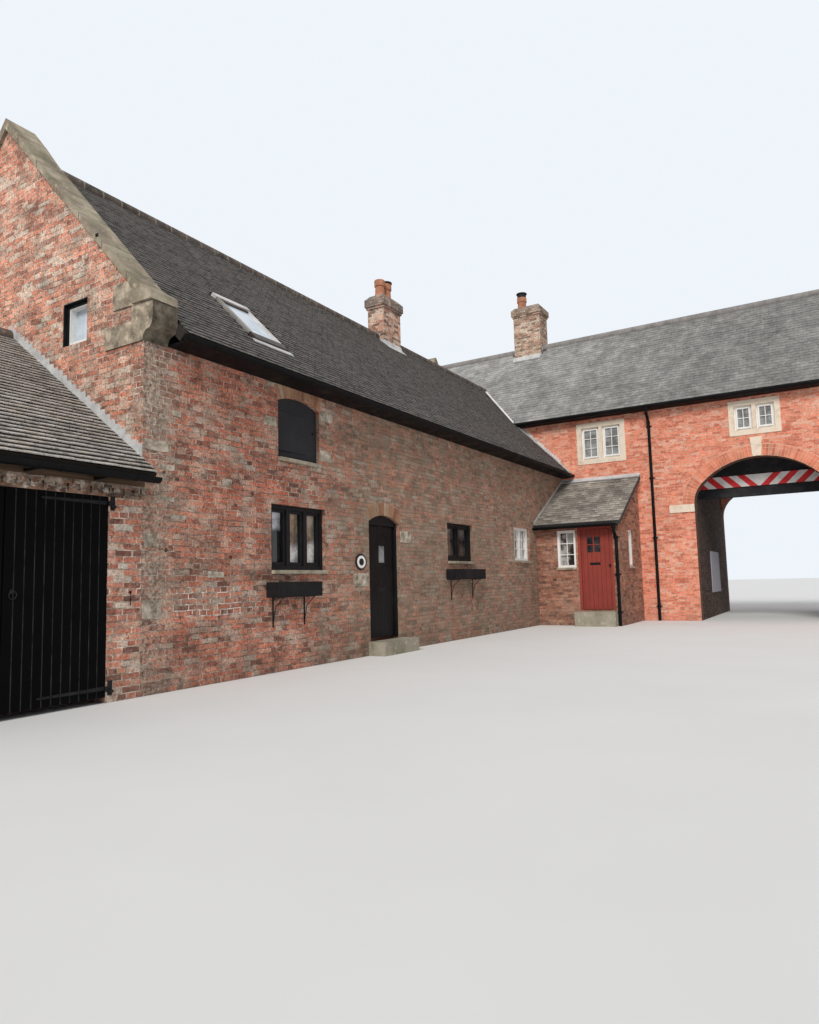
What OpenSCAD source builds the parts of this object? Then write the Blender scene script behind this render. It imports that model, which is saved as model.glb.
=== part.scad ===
// Brick farm range with a taller gatehouse across its far end. A carriage arch runs through the
// gatehouse, a garage wing stands at the near end and a lean-to porch fills the inner corner.
// Lengths are millimetres. Sizes are written from the corner where the near gable meets the front
// wall at ground level: X runs along the front wall, Y into the range and Z up.

/* [Main range] */
// Length of the front wall, from the near gable to the gatehouse
main_len = 14300; // [13200:100:16000]
// Depth of the main range over its walls
main_depth = 5860; // [5600:20:6200]
// Height of the main roof's surface at the face of the front wall, over the soffit of its eaves
main_eave_rise = 405; // [385:5:425]
// Pitch of the main roof
main_pitch = 45; // [44:0.5:46]
// Height of the front wall up to the soffit of its eaves
main_wall_h = 4000; // [3970:5:4020]
// How far the main roof runs out past its walls
eave_over = 290; // [260:10:310]
// Thickness of battens, boards and covering of the big roofs
roof_t = 120; // [100:5:130]
// Thickness of the outer brick walls
wall_t = 340; // [300:10:360]
// Height of the top of the ground floor
floor_z = 250; // [200:10:280]
// Height of the top of the upper floor
upper_floor_z = 2700; // [2660:10:2800]
// Thickness of the floors
floor_t = 180; // [150:10:200]

/* [Main openings] */
// Distance of the first front window from the near gable
window_a_x = 2110; // [1900:10:2200]
// Width of the first front window
window_a_w = 1190; // [1000:10:1300]
// Height of the first front window
window_a_h = 915; // [800:5:960]
// Height of the top of its stone sill
window_a_z = 1375; // [1300:5:1400]
// Distance of the second front window from the near gable
window_b_x = 7210; // [6600:10:7900]
// Width of the second front window
window_b_w = 1140; // [1000:10:1300]
// Height of the second front window
window_b_h = 765; // [700:5:800]
// Height of the top of its sill
window_b_z = 1565; // [1500:5:1600]
// Distance of the third front window from the near gable
window_c_x = 10600; // [10200:10:10800]
// Width of the third front window
window_c_w = 980; // [800:10:1100]
// Height of the third front window
window_c_h = 810; // [700:5:820]
// Height of the top of its sill
window_c_z = 1620; // [1580:5:1660]
// Distance of the front door opening from the near gable
front_door_x = 4460; // [4300:10:4700]
// Width of the front door opening
front_door_w = 940; // [880:10:1000]
// Height where the arch over the front door springs
front_door_spring = 2190; // [2150:5:2250]
// Height of the door leaf's top above the ground
front_door_top = 2140; // [2100:5:2160]
// Distance of the loft shutter from the near gable
shutter_x = 2260; // [2100:10:2600]
// Width of the loft shutter
shutter_w = 920; // [800:10:960]
// Height of the bottom of the loft shutter
shutter_z = 2960; // [2900:5:3000]
// How far the arch over the loft shutter springs under the soffit of the eaves
shutter_head = 230; // [210:5:260]
// Rise of the brick arch over the loft shutter
shutter_rise = 95; // [80:5:110]
// Rise of the brick arch over the front door
front_door_rise = 120; // [90:5:130]
// Distance of the small gable window from the front wall
gable_window_y = 1050; // [1000:10:1150]
// Width of the small gable window
gable_window_w = 490; // [420:10:540]
// Height of the sill of the small gable window
gable_window_z = 4200; // [4180:5:4260]
// Height of the small gable window
gable_window_h = 550; // [480:5:560]
// Distance of the roof window from the near gable
roof_window_x = 1980; // [1900:10:2400]
// Width of the roof window
roof_window_w = 680; // [550:10:780]
// Length of the roof window along the slope
roof_window_len = 1100; // [1000:10:1180]
// Distance of the roof window's foot from the wall face, measured level
roof_window_y = 210; // [180:10:260]

/* [Garage wing] */
// Length of the garage wing
garage_len = 3040; // [2900:20:3400]
// How far the garage's rear wall stands in from the rear wall of the main range
garage_set_in = 360; // [260:20:500]
// Height of the garage roof's surface over the face of its front wall
garage_eave_z = 2602; // [2590:2:2620]
// Pitch of the garage roof
garage_pitch = 36; // [35.5:0.5:36.5]
// Thickness of the garage roof
garage_roof_t = 100; // [80:5:110]
// How far the garage roof runs out past the wall
garage_over = 250; // [220:10:270]
// Thickness of the garage walls
garage_wall_t = 230; // [200:10:240]
// Width of the pier between the garage doors and the near gable
garage_pier_w = 417; // [380:1:460]
// Width of each garage door
garage_leaf_w = 1096; // [1040:1:1130]
// Height of the garage doorway
garage_door_h = 2150; // [2100:5:2170]
// Height of the bottom of the garage doors above the ground
garage_door_gap = 60; // [40:5:90]

/* [Gatehouse] */
// Depth of the gatehouse, front to back
gate_depth = 5500; // [5300:20:5700]
// Height of the gatehouse roof's surface at the face of its front wall, over the soffit of its eaves
gate_eave_rise = 380; // [360:5:400]
// Pitch of the gatehouse roof
gate_pitch = 46.6; // [46:0.1:47]
// Height of the gatehouse wall up to the soffit of its eaves
gate_wall_h = 5620; // [5590:5:5630]
// How far the gatehouse roof runs out past its walls
gate_over = 250; // [220:10:280]
// Distance of the arch's centre line from the main front wall
arch_y = 5050; // [5000:10:5200]
// Width of the carriage arch
arch_span = 3080; // [2900:10:3160]
// Height where the carriage arch springs
arch_spring = 3005; // [2960:5:3020]
// Rise of the carriage arch
arch_rise = 1090; // [1060:5:1110]
// Radius of the tight arcs at the haunches of the carriage arch
arch_haunch_r = 750; // [700:5:800]
// Depth of the ring of arch bricks
arch_ring_d = 300; // [240:5:320]
// Height of the ceiling over the crown of the carriage arch
passage_ceiling_rise = 55; // [45:5:85]
// Width of the upper windows over their stone surrounds
surround_w = 1350; // [1250:10:1450]
// How far the upper windows' stone surrounds stay under the soffit of the eaves
surround_head = 120; // [100:5:160]
// Height of the underside of the upper windows' stone surrounds
surround_z = 4340; // [4320:5:4380]
// Distance of the near upper window from the main front wall
surround_y = 490; // [450:10:560]
// Width of the stone of the surrounds
surround_band = 130; // [110:5:150]

/* [Porch] */
// How far the porch stands out from the gatehouse wall
porch_len = 2220; // [2000:20:2360]
// How far the porch stands out from the main front wall
porch_w = 2090; // [2050:10:2240]
// Height of the porch roof where it meets the gatehouse wall
porch_top_z = 3900; // [3850:10:3960]
// Pitch of the porch roof
porch_pitch = 29.7; // [29:0.1:30.5]
// Thickness of the porch roof
porch_roof_t = 90; // [70:5:100]
// Thickness of the porch walls
porch_wall_t = 215; // [200:5:225]
// Width of the porch doorway
porch_door_w = 870; // [840:10:890]
// Height of the top of the porch doorway
porch_door_top = 2420; // [2380:5:2430]
// Height of the porch doorstep
porch_step_z = 380; // [340:5:400]

/* [Gables] */
// Height of the gables' brickwork over the roof's surface at the wall's face
gable_rise = 65; // [55:5:80]
// How much steeper the copings run than the roofs, in degrees
coping_steeper = 2; // [1.6:0.1:2.2]
// Thickness of the copings, measured upright
coping_h = 100; // [90:5:120]
// How far the copings stand out past the faces of the gables
coping_over = 45; // [35:5:60]
// How far the kneelers stand out under the feet of the copings
kneeler_out = 165; // [150:5:180]

/* [Chimneys] */
// Width of the main chimney along the ridge
main_stack_w = 780; // [740:10:820]
// Width of the main chimney across the ridge
main_stack_d = 480; // [460:10:540]
// Distance of the main chimney from the near gable
main_stack_x = 9220; // [9000:20:9400]
// Height of the main chimney's brickwork over the main ridge
main_stack_rise = 965; // [900:5:1050]
// Width of the gatehouse chimney along the ridge
gate_stack_w = 930; // [880:10:980]
// Width of the gatehouse chimney across the ridge
gate_stack_d = 700; // [640:10:760]
// Distance of the gatehouse chimney from the line of the main front wall
gate_stack_y = 1350; // [1250:10:1500]
// Height of the gatehouse chimney's brickwork over the gatehouse ridge
gate_stack_rise = 1350; // [1280:10:1450]

/* [Joinery] */
// Clearance all round each door leaf
leaf_gap = 6; // [5.5:0.5:8]
// Thickness of the door leaves
leaf_t = 50; // [44:2:60]
// Depth of the window and door frames
frame_d = 90; // [80:5:100]
// Width of the frame members
frame_w = 60; // [50:2:70]
// Setback of frames from the wall face
reveal = 60; // [50:5:80]
// Thickness of the glass sheets
glass_t = 12; // [8:1:14]

/* [Hidden] */
$fn = 40;

// Places that follow from the driving sizes
main_ridge_y = main_depth / 2;
main_eave_z = main_wall_h + main_eave_rise;
shutter_spring = main_wall_h - shutter_head;
main_ridge_z = main_eave_z + main_ridge_y * tan(main_pitch);
main_stack_z = main_ridge_z + main_stack_rise;
garage_depth = main_depth - garage_set_in;
gate_x = main_len;
gate_back = gate_x + gate_depth;
gate_ridge_x = gate_x + gate_depth / 2;
gate_eave_z = gate_wall_h + gate_eave_rise;
gate_ridge_z = gate_eave_z + gate_depth / 2 * tan(gate_pitch);
gate_stack_z = gate_ridge_z + gate_stack_rise;
gate_end = -2 * arch_y;
arch_near = -arch_y + arch_span / 2;
arch_far = -arch_y - arch_span / 2;
arch_crown_z = arch_spring + arch_rise;
passage_ceiling_z = arch_crown_z + passage_ceiling_rise;
surround_h = gate_wall_h - surround_head - surround_z;
garage_end = -garage_len;
garage_ridge_y = garage_depth / 2;
garage_ridge_z = garage_eave_z + garage_ridge_y * tan(garage_pitch);
garage_door_x = -garage_pier_w - 2 * garage_leaf_w;
porch_x = gate_x - porch_len;
porch_y = -porch_w;
porch_door_inset = 150;
porch_door_y = porch_y + porch_door_inset;

// Clearance where a roof, a ridge tile or a sheet of lead lies on what carries it
seat = 0.3;

// The row's own frame stands at the middle of its plan
verge = 60;
gutter_r = 62;
gutter_tuck = 30;
plan_x0 = garage_end - verge;
plan_x1 = gate_back + gate_over + 2 * gutter_r - gutter_tuck;
plan_y0 = gate_end - coping_over;
plan_y1 = main_depth + eave_over + 2 * gutter_r - gutter_tuck;
row_x = (plan_x0 + plan_x1) / 2;
row_y = (plan_y0 + plan_y1) / 2;

brick_red = "#9c4a35";
brick_orange = "#b5573c";
brick_buff = "#a98563";
stone_buff = "#a89b84";
tile_brown = "#4a423f";
slate_grey = "#6c6f73";
joinery_black = "#1b1c1f";
joinery_white = "#e8e8e4";
door_red = "#a3202a";
lead_grey = "#b4b7ba";
timber_brown = "#5a4233";
pot_red = "#a85a42";

// Height of a roof's top surface at a level distance from its ridge, and of the seat under it
function roof_top(d, ridge_z, pitch) = ridge_z - abs(d) * tan(pitch);
function roof_drop(t, pitch) = t / cos(pitch);
function main_top(y) = roof_top(y - main_ridge_y, main_ridge_z, main_pitch);
function main_under(y) = main_top(y) - roof_drop(roof_t, main_pitch) - seat;
function gate_top(x) = roof_top(x - gate_ridge_x, gate_ridge_z, gate_pitch);
function gate_under(x) = gate_top(x) - roof_drop(roof_t, gate_pitch) - seat;
function garage_top(y) = roof_top(y - garage_ridge_y, garage_ridge_z, garage_pitch);
function garage_under(y) = garage_top(y) - roof_drop(garage_roof_t, garage_pitch) - seat;
function porch_top(x) = porch_top_z - (gate_x - x) * tan(porch_pitch);
function porch_under(x) = porch_top(x) - roof_drop(porch_roof_t, porch_pitch) - seat;

// Points of one roof slope from its eave to its ridge, square cut at the eave
function slope(eave, ridge, ridge_z, pitch, t) =
    let (side = ridge > eave ? 1 : -1, foot = roof_top(ridge - eave, ridge_z, pitch))
    [[eave, foot], [ridge, ridge_z], [ridge, ridge_z - roof_drop(t, pitch)],
     [eave + side * t * sin(pitch), foot - t * cos(pitch)]];

// Points along an arc about a centre, between two angles
function arc(centre, r, a0, a1, steps) =
    [for (i = [0 : steps]) let (a = a0 + (a1 - a0) * i / steps)
        [centre[0] + r * cos(a), centre[1] + r * sin(a)]];

// Opening with a segmental head: lower left corner, width, spring height and rise
function segment_head(x0, z0, w, spring, rise) =
    let (r = (w * w / 4 + rise * rise) / (2 * rise), a = asin(w / 2 / r))
    concat([[x0, z0], [x0 + w, z0]], arc([x0 + w / 2, spring + rise - r], r, 90 - a, 90 + a, 10));

// Curve of the three-centred carriage arch, widened by a step outward
function basket_curve(step) =
    let (a = arch_span / 2, b = arch_rise, s = arch_haunch_r,
         big = (a * a + b * b - 2 * a * s) / (2 * (b - s)),
         turn = atan2(big - b, a - s))
    concat(arc([-arch_y + a - s, arch_spring], s + step, 0, turn, 7),
           arc([-arch_y, arch_spring + b - big], big + step, turn, 180 - turn, 14),
           arc([-arch_y - a + s, arch_spring], s + step, 180 - turn, 180, 7));

// Block between two places on each axis
module block(x, y, z) {
    translate([x[0], y[0], z[0]]) cube([x[1] - x[0], y[1] - y[0], z[1] - z[0]]);
}

// Profile drawn in Y and Z, run along X
module along_x(x) {
    translate([x[0], 0, 0]) rotate([90, 0, 90]) linear_extrude(x[1] - x[0]) children();
}

// Profile drawn in X and Z, run along Y
module along_y(y) {
    translate([0, y[1], 0]) rotate([90, 0, 0]) linear_extrude(y[1] - y[0]) children();
}

// Moves the row so that its own origin is at the middle of its plan
module row() {
    translate([-row_x, -row_y, 0]) children();
}

// Room to cut right through a wall whose outer face is at a place on one axis
function through(face, t) = [face - 60, face + t + 60];

// Windows and doors of the rear walls: first, count and step of a regular row
rear_window_w = 1000;
rear_window_h = 915;
rear_window_z = 1375;
rear_upper_z = passage_ceiling_z + 300;
rear_upper_h = gate_wall_h - 2 * surround_head - rear_upper_z;
rear_windows_x = [for (i = [0 : 3]) main_len * (0.14 + 0.24 * i) - rear_window_w / 2];
gate_rear_windows_y = [gate_end + 2 * wall_t + 900, -arch_y - surround_w / 2, -1800, 2600];
upper_windows_y = [-surround_y - surround_w, gate_end + surround_y];

small_surround_w = 1180;
key_h = 480;
key_gap = 75;
small_surround_z = arch_crown_z + key_h + key_gap;
small_surround_h = gate_wall_h - 2 / 3 * surround_head - small_surround_z;
ground_window_w = 900;
ground_window_h = 1000;
ground_window_z = 1350;
ground_window_y = gate_end + wall_t + 1110;

// Kneeler: three stones under the foot of a coping, toothed into the brickwork. The lowest has an
// ogee nose and the middle one a sloped top that leaves a shadow gap under the coping's foot
kneeler_drop = 485;
kneeler_nose_h = 245;
kneeler_low_h = 265;
kneeler_tail = 680;
kneeler_mid = 200;
kneeler_inner = 540;
kneeler_shoulder = 260;
kneeler_proud = 15;
foot_drop = 30;
foot_h = 90;
foot_in = 160;
shadow_gap = 20;

// Ogee from the wall's face up to the nose: hollow below, round above
function ogee(out, base, h) = concat(
    [for (a = [0 : 15 : 90]) [out / 2 * (cos(a) - 1), base + h / 2 * sin(a)]],
    [for (a = [255 : -15 : 180]) [out / 2 * (cos(a) - 1), base + h + h / 2 * sin(a)]]);

module kneeler_profile(line, pitch) {
    base = line - kneeler_drop;
    bed = line - foot_drop;
    shoulder_z = line + kneeler_shoulder * tan(pitch);
    polygon(concat(
        [[kneeler_tail, base]], ogee(kneeler_out, base, kneeler_nose_h),
        [[-kneeler_out, bed - shadow_gap], [0, bed], [foot_in, bed],
         [foot_in, line + foot_in * tan(pitch)], [kneeler_shoulder, shoulder_z],
         [kneeler_inner, shoulder_z], [kneeler_inner, bed], [kneeler_mid, bed],
         [kneeler_mid, base + kneeler_low_h], [kneeler_tail, base + kneeler_low_h]]));
}

// Lowest stone of a coping, with an upright end over the kneeler
module foot_profile(line, pitch) {
    bed = line - foot_drop + seat;
    polygon([[-kneeler_out, bed], [foot_in, bed], [foot_in, line + coping_h + foot_in * tan(pitch)],
             [-kneeler_out, bed + foot_h]]);
}

// A stone at one foot of a gable, and its mirror image at the other
module both_feet(width) {
    children();
    translate([width, 0]) mirror([1, 0]) children();
}

// Brickwork of a gable up to the underside of its coping
module gable_profile(width, line, pitch) {
    difference() {
        polygon([[0, 0], [width, 0], [width, line], [width / 2, line + width / 2 * tan(pitch)],
                 [0, line]]);
        both_feet(width) {
            kneeler_profile(line, pitch);
            foot_profile(line, pitch);
        }
    }
}

// Coping along both slopes of a gable, over the feet, with a crowned saddle stone at the apex
saddle_w = 620;
saddle_h = 60;
module coping_profile(width, line, pitch) {
    half = width / 2;
    low = line + foot_in * tan(pitch) + seat;
    apex = line + half * tan(pitch) + seat;
    top = apex + coping_h;
    joint = top - saddle_w * tan(pitch);
    crown = top - saddle_w / 2 * tan(pitch) + 0.75 * saddle_h;
    polygon([[foot_in, low], [half, apex], [width - foot_in, low], [width - foot_in, low + coping_h],
             [half + saddle_w, joint], [half + saddle_w / 2, crown], [half, top + saddle_h],
             [half - saddle_w / 2, crown], [half - saddle_w, joint], [foot_in, low + coping_h]]);
}

main_line = main_eave_z + gable_rise;
gate_line = gate_eave_z + gable_rise;
main_coping_pitch = main_pitch + coping_steeper;
gate_coping_pitch = gate_pitch + coping_steeper;

// Cuts through the front wall for its windows, over their sills
sill_t = 50;
module front_openings() {
    outer = through(0, wall_t);
    block([window_a_x, window_a_x + window_a_w], outer, [window_a_z - sill_t, window_a_z + window_a_h]);
    block([window_b_x, window_b_x + window_b_w], outer, [window_b_z - sill_t, window_b_z + window_b_h]);
    block([window_c_x, window_c_x + window_c_w], outer, [window_c_z - sill_t, window_c_z + window_c_h]);
    along_y(outer) polygon(segment_head(shutter_x, shutter_z - sill_t, shutter_w, shutter_spring,
                                        shutter_rise));
}

module main_gable_wall() {
    color(brick_red) difference() {
        along_x([0, wall_t]) gable_profile(main_depth, main_line, main_coping_pitch);
        block(through(0, wall_t), [gable_window_y, gable_window_y + gable_window_w],
              [gable_window_z, gable_window_z + gable_window_h]);
    }
}

// Front wall's section: its top follows the underside of the roof
module front_wall_profile() {
    polygon([[0, 0], [wall_t, 0], [wall_t, main_under(wall_t)], [0, main_under(0)]]);
}

module main_front_walls() {
    color(brick_red) difference() {
        along_x([wall_t, gate_x]) front_wall_profile();
        block([front_door_x, front_door_x + front_door_w], through(0, wall_t), [-10, main_ridge_z]);
        front_openings();
    }
}

module main_wall_over_door() {
    color(brick_red) difference() {
        along_x([front_door_x, front_door_x + front_door_w]) front_wall_profile();
        along_y(through(0, wall_t)) polygon(segment_head(front_door_x, -10, front_door_w,
                                                         front_door_spring, front_door_rise));
    }
}

module main_rear_wall() {
    color(brick_red) difference() {
        along_x([wall_t, gate_x]) polygon([
            [main_depth, 0], [main_depth - wall_t, 0],
            [main_depth - wall_t, main_under(main_depth - wall_t)], [main_depth, main_under(main_depth)]]);
        for (x = rear_windows_x)
            block([x, x + rear_window_w], through(main_depth - wall_t, wall_t),
                  [rear_window_z - sill_t, rear_window_z + rear_window_h]);
    }
}

// Plan of each chimney, used for the stack and for every floor and roof that it passes
main_stack_off = 15;
gate_stack_off = 60;
main_stack_y = main_ridge_y - main_stack_d / 2 - main_stack_off;
gate_stack_x = gate_ridge_x - gate_stack_d / 2 + gate_stack_off;
main_stack_xs = [main_stack_x, main_stack_x + main_stack_w];
main_stack_ys = [main_stack_y, main_stack_y + main_stack_d];
gate_stack_xs = [gate_stack_x, gate_stack_x + gate_stack_d];
gate_stack_ys = [gate_stack_y, gate_stack_y + gate_stack_w];
function widen(range, by) = [range[0] - by, range[1] + by];
module main_stack_plan(z, by = 0) {
    block(widen(main_stack_xs, by), widen(main_stack_ys, by), z);
}
module gate_stack_plan(z, by = 0) {
    block(widen(gate_stack_xs, by), widen(gate_stack_ys, by), z);
}

// Lies a child on the front slope of the main roof: X along the wall, Y up the slope
module on_front_slope(x, y) {
    translate([x, y, main_top(y)]) rotate([main_pitch, 0, 0]) children();
}

module main_roof_front() {
    color(tile_brown) difference() {
        along_x([wall_t, gate_x])
            polygon(slope(-eave_over, main_ridge_y, main_ridge_z, main_pitch, roof_t));
        on_front_slope(roof_window_x, roof_window_y)
            block([0, roof_window_w], [0, roof_window_len], [-roof_t - 20, 20]);
        main_stack_plan([0, main_stack_z]);
    }
}

module main_roof_rear() {
    color(tile_brown) difference() {
        along_x([wall_t, gate_x])
            polygon(slope(main_depth + eave_over, main_ridge_y, main_ridge_z, main_pitch, roof_t));
        main_stack_plan([0, main_stack_z]);
    }
}

// Outline of everything under the gatehouse roof's top surface, in X and Z
module under_gate_roof(x0) {
    polygon([[x0, -10], [x0, gate_top(x0)], [gate_ridge_x, gate_ridge_z], [gate_back, gate_top(gate_back)],
             [gate_back, -10]]);
}

// Small roof that carries the main ridge back to the gatehouse slope, with a valley on each side
module valley_roof() {
    reach = gate_ridge_x - (gate_ridge_z - main_ridge_z) / tan(gate_pitch) + 10;
    color(tile_brown) difference() {
        along_x([gate_x, reach]) polygon([
            [0, main_top(0)], [main_ridge_y, main_ridge_z], [main_depth, main_top(main_depth)],
            [main_depth, main_under(main_depth)], [main_ridge_y, main_under(main_ridge_y)],
            [0, main_under(0)]]);
        along_y([-10, main_depth + 10]) under_gate_roof(gate_x - 10);
    }
}

module gable_copings() {
    roof_side = coping_over - 5;
    color(stone_buff) {
        along_x([-coping_over, wall_t + roof_side])
            coping_profile(main_depth, main_line, main_coping_pitch);
        along_x([-coping_over, wall_t]) both_feet(main_depth) foot_profile(main_line, main_coping_pitch);
        for (y = [[gate_end - coping_over, gate_end + wall_t + roof_side],
                  [main_depth - wall_t - roof_side, main_depth + coping_over]])
            along_y(y) translate([gate_x, 0]) coping_profile(gate_depth, gate_line, gate_coping_pitch);
        for (y = [[gate_end - coping_over, gate_end + wall_t],
                  [main_depth - wall_t, main_depth + coping_over]])
            along_y(y) translate([gate_x, 0]) both_feet(gate_depth)
                foot_profile(gate_line, gate_coping_pitch);
    }
}

module kneeler_stones() {
    color(stone_buff) {
        along_x([-kneeler_proud, wall_t]) both_feet(main_depth)
            kneeler_profile(main_line, main_coping_pitch);
        for (y = [[gate_end - kneeler_proud, gate_end + wall_t],
                  [main_depth - wall_t, main_depth + kneeler_proud]])
            along_y(y) translate([gate_x, 0]) both_feet(gate_depth)
                kneeler_profile(gate_line, gate_coping_pitch);
    }
}

// Floors lie between the walls; the carriageway keeps none
module floor_plan(z) {
    block([wall_t, gate_x], [wall_t, main_depth - wall_t], z);
}

floor_gap = 10;
module ground_floors() {
    color("#8d8478") {
        difference() {
            floor_plan([0, floor_z]);
            main_stack_plan([-10, floor_z + 10]);
        }
        difference() {
            block([gate_x + wall_t, gate_back - wall_t], [arch_near + wall_t, main_depth - wall_t],
                  [0, floor_z]);
            gate_stack_plan([-10, floor_z + 10]);
        }
        block([gate_x + wall_t, gate_back - wall_t], [gate_end + wall_t, arch_far - wall_t], [0, floor_z]);
        block([garage_end + garage_wall_t, 0], [wall_t, garage_depth - garage_wall_t],
              [0, garage_door_gap - floor_gap]);
        block([porch_x + porch_wall_t, gate_x], [porch_y + porch_wall_t, 0],
              [0, porch_step_z - 2 * floor_gap]);
    }
}

gate_floor_z = upper_floor_z + 300;
module upper_floors() {
    color("#7a5c40") {
        difference() {
            floor_plan([upper_floor_z - floor_t, upper_floor_z]);
            main_stack_plan([0, main_stack_z]);
        }
        difference() {
            block([gate_x + wall_t, gate_back - wall_t], [arch_near + wall_t, main_depth - wall_t],
                  [gate_floor_z - floor_t, gate_floor_z]);
            gate_stack_plan([0, gate_stack_z]);
        }
        block([gate_x + wall_t, gate_back - wall_t], [gate_end + wall_t, arch_far - wall_t],
              [gate_floor_z - floor_t, gate_floor_z]);
        block([gate_x + wall_t, gate_back - wall_t], [arch_far, arch_near],
              [passage_ceiling_z, passage_ceiling_z + floor_t]);
    }
}

ridge_r = 125;
ridge_sink = 45;
ridge_cut = 3 * ridge_r;

// Half-round ridge tile seated on both slopes, drawn about the ridge point
module ridge_profile(pitch) {
    difference() {
        translate([0, -ridge_sink]) circle(ridge_r);
        polygon([[0, seat], [ridge_cut, seat - ridge_cut * tan(pitch)], [ridge_cut, -2 * ridge_cut],
                 [-ridge_cut, -2 * ridge_cut], [-ridge_cut, seat - ridge_cut * tan(pitch)]]);
    }
}

module ridge_tiles() {
    main_reach = gate_ridge_x - (gate_ridge_z - main_ridge_z) / tan(gate_pitch);
    color(tile_brown) {
        difference() {
            along_x([wall_t + coping_over, main_reach + ridge_r])
                translate([main_ridge_y, main_ridge_z]) ridge_profile(main_pitch);
            main_stack_plan([0, main_stack_z], flash_t);
            along_y([0, main_depth]) under_gate_roof(gate_x - 10);
        }
        along_x([garage_end - verge, -flash_t])
            translate([garage_ridge_y, garage_ridge_z]) ridge_profile(garage_pitch);
        difference() {
            along_y([gate_end + wall_t + coping_over, main_depth - wall_t - coping_over])
                translate([gate_ridge_x, gate_ridge_z]) ridge_profile(gate_pitch);
            gate_stack_plan([0, gate_stack_z], flash_t);
        }
    }
}

// Half-round gutter under a tile edge, drawn from the wall face outward, with what carries it
gutter_wall = 6;
gutter_gap = 10;
board_t = 30;
board_foot = 24;
function gutter_lip(eave_top, pitch) = eave_top - gutter_tuck / tan(pitch) - gutter_gap;
function gutter_axis(over) = -over - gutter_r + gutter_tuck;
module channel(over, lip_z) {
    out = gutter_axis(over);
    difference() {
        union() {
            translate([out, lip_z]) circle(gutter_r);
            children();
        }
        translate([out, lip_z]) circle(gutter_r - gutter_wall);
        translate([out - 2 * gutter_r, lip_z]) square([4 * gutter_r - gutter_tuck, 2 * gutter_r]);
    }
}

// Gutter with a soffit and a board behind it
module boxed_gutter(over, lip_z, foot_z, top_z) {
    out = gutter_axis(over);
    low = lip_z - gutter_r;
    channel(over, lip_z) polygon([[out, low + 2 * gutter_wall], [out, low], [-board_t, foot_z], [0, foot_z],
                                  [0, top_z], [-board_t, top_z], [-board_t, foot_z + board_foot]]);
}

module main_gutter() {
    lip = gutter_lip(main_top(-eave_over), main_pitch);
    boxed_gutter(eave_over, lip, main_wall_h, main_under(-board_t));
}
gate_lip = gutter_lip(gate_top(gate_x - gate_over), gate_pitch);
module gate_gutter() {
    boxed_gutter(gate_over, gate_lip, gate_wall_h, gate_under(gate_x - board_t));
}
porch_over = 200;
porch_lip = gutter_lip(porch_top(porch_x - porch_over), porch_pitch);
module porch_gutter() {
    boxed_gutter(porch_over, porch_lip, porch_door_top, porch_under(porch_x - board_t));
}

// The garage's gutter hangs on brackets from the timber plate
garage_lip = gutter_lip(garage_top(-garage_over), garage_pitch);
bracket_w = 30;
bracket_step = 740;
module garage_gutter(flip) {
    out = gutter_axis(garage_over);
    low = garage_lip - gutter_r;
    translate([0, flip ? garage_depth : 0, 0]) mirror([0, flip ? 1 : 0, 0]) {
        along_x([garage_end, 0]) channel(garage_over, garage_lip);
        for (x = [garage_end + bracket_step / 4 : bracket_step : -bracket_w])
            along_x([x, x + bracket_w]) channel(garage_over, garage_lip) polygon([
                [out, low], [-plate_t, garage_plate_z + 10], [-plate_t, garage_plate_z + 40],
                [out, low + 2 * gutter_wall]]);
    }
}

// Outlet under a gutter, where a downpipe hangs
outlet_h = 60;
outlet_r = 46;
module outlet(x, y, lip_z) {
    difference() {
        translate([x, y, lip_z - gutter_r - outlet_h])
            cylinder(r = outlet_r, h = outlet_h + gutter_r);
        along_y([y - 2 * outlet_r, y + 2 * outlet_r]) translate([x, lip_z])
            circle(gutter_r - gutter_wall / 2);
    }
}

// The gatehouse's front gutter runs on over the main roof as far as the roof lets it
gate_gutter_end = (gate_wall_h - main_eave_z) / tan(main_pitch) - 20;
module gutters() {
    color(joinery_black) {
        along_x([wall_t, gate_x]) main_gutter();
        along_x([wall_t, gate_x]) translate([main_depth, 0]) mirror([1, 0]) main_gutter();
        along_y([gate_end + wall_t, gate_gutter_end]) translate([gate_x, 0]) gate_gutter();
        outlet(gate_x + gutter_axis(gate_over), gate_pipe_y, gate_lip);
        along_y([gate_end + wall_t, main_depth - wall_t]) translate([gate_back, 0]) mirror([1, 0])
            gate_gutter();
        garage_gutter(false);
        garage_gutter(true);
        along_y([porch_y, 0]) translate([porch_x, 0]) porch_gutter();
        outlet(porch_x + gutter_axis(porch_over), porch_y + outlet_r, porch_lip);
    }
}

pipe_r = 38;
pipe_stand = 60;
socket_r = 45;
pipe_off = 650;
gate_pipe_y = -surround_y - surround_w - pipe_off;

// Round downpipe with a swan neck from the gutter's outlet back to the wall
module downpipe(x_top, x_wall, y, lip_z) {
    top = lip_z - gutter_r - outlet_h - seat;
    run = x_wall - x_top;
    bend = top - 1.5 * socket_r;
    translate([x_top, y, bend]) {
        cylinder(r = pipe_r, h = top - bend);
        sphere(socket_r);
        rotate([0, 135, 0]) cylinder(r = pipe_r, h = run * sqrt(2));
        translate([run, 0, -run]) sphere(socket_r);
    }
    translate([x_wall, y, 0]) cylinder(r = pipe_r, h = bend - run);
}

module downpipes() {
    color(joinery_black) {
        downpipe(gate_x + gutter_axis(gate_over), gate_x - pipe_stand, gate_pipe_y, gate_lip);
        downpipe(porch_x + gutter_axis(porch_over), porch_x - pipe_stand, porch_y + outlet_r, porch_lip);
    }
}

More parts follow.
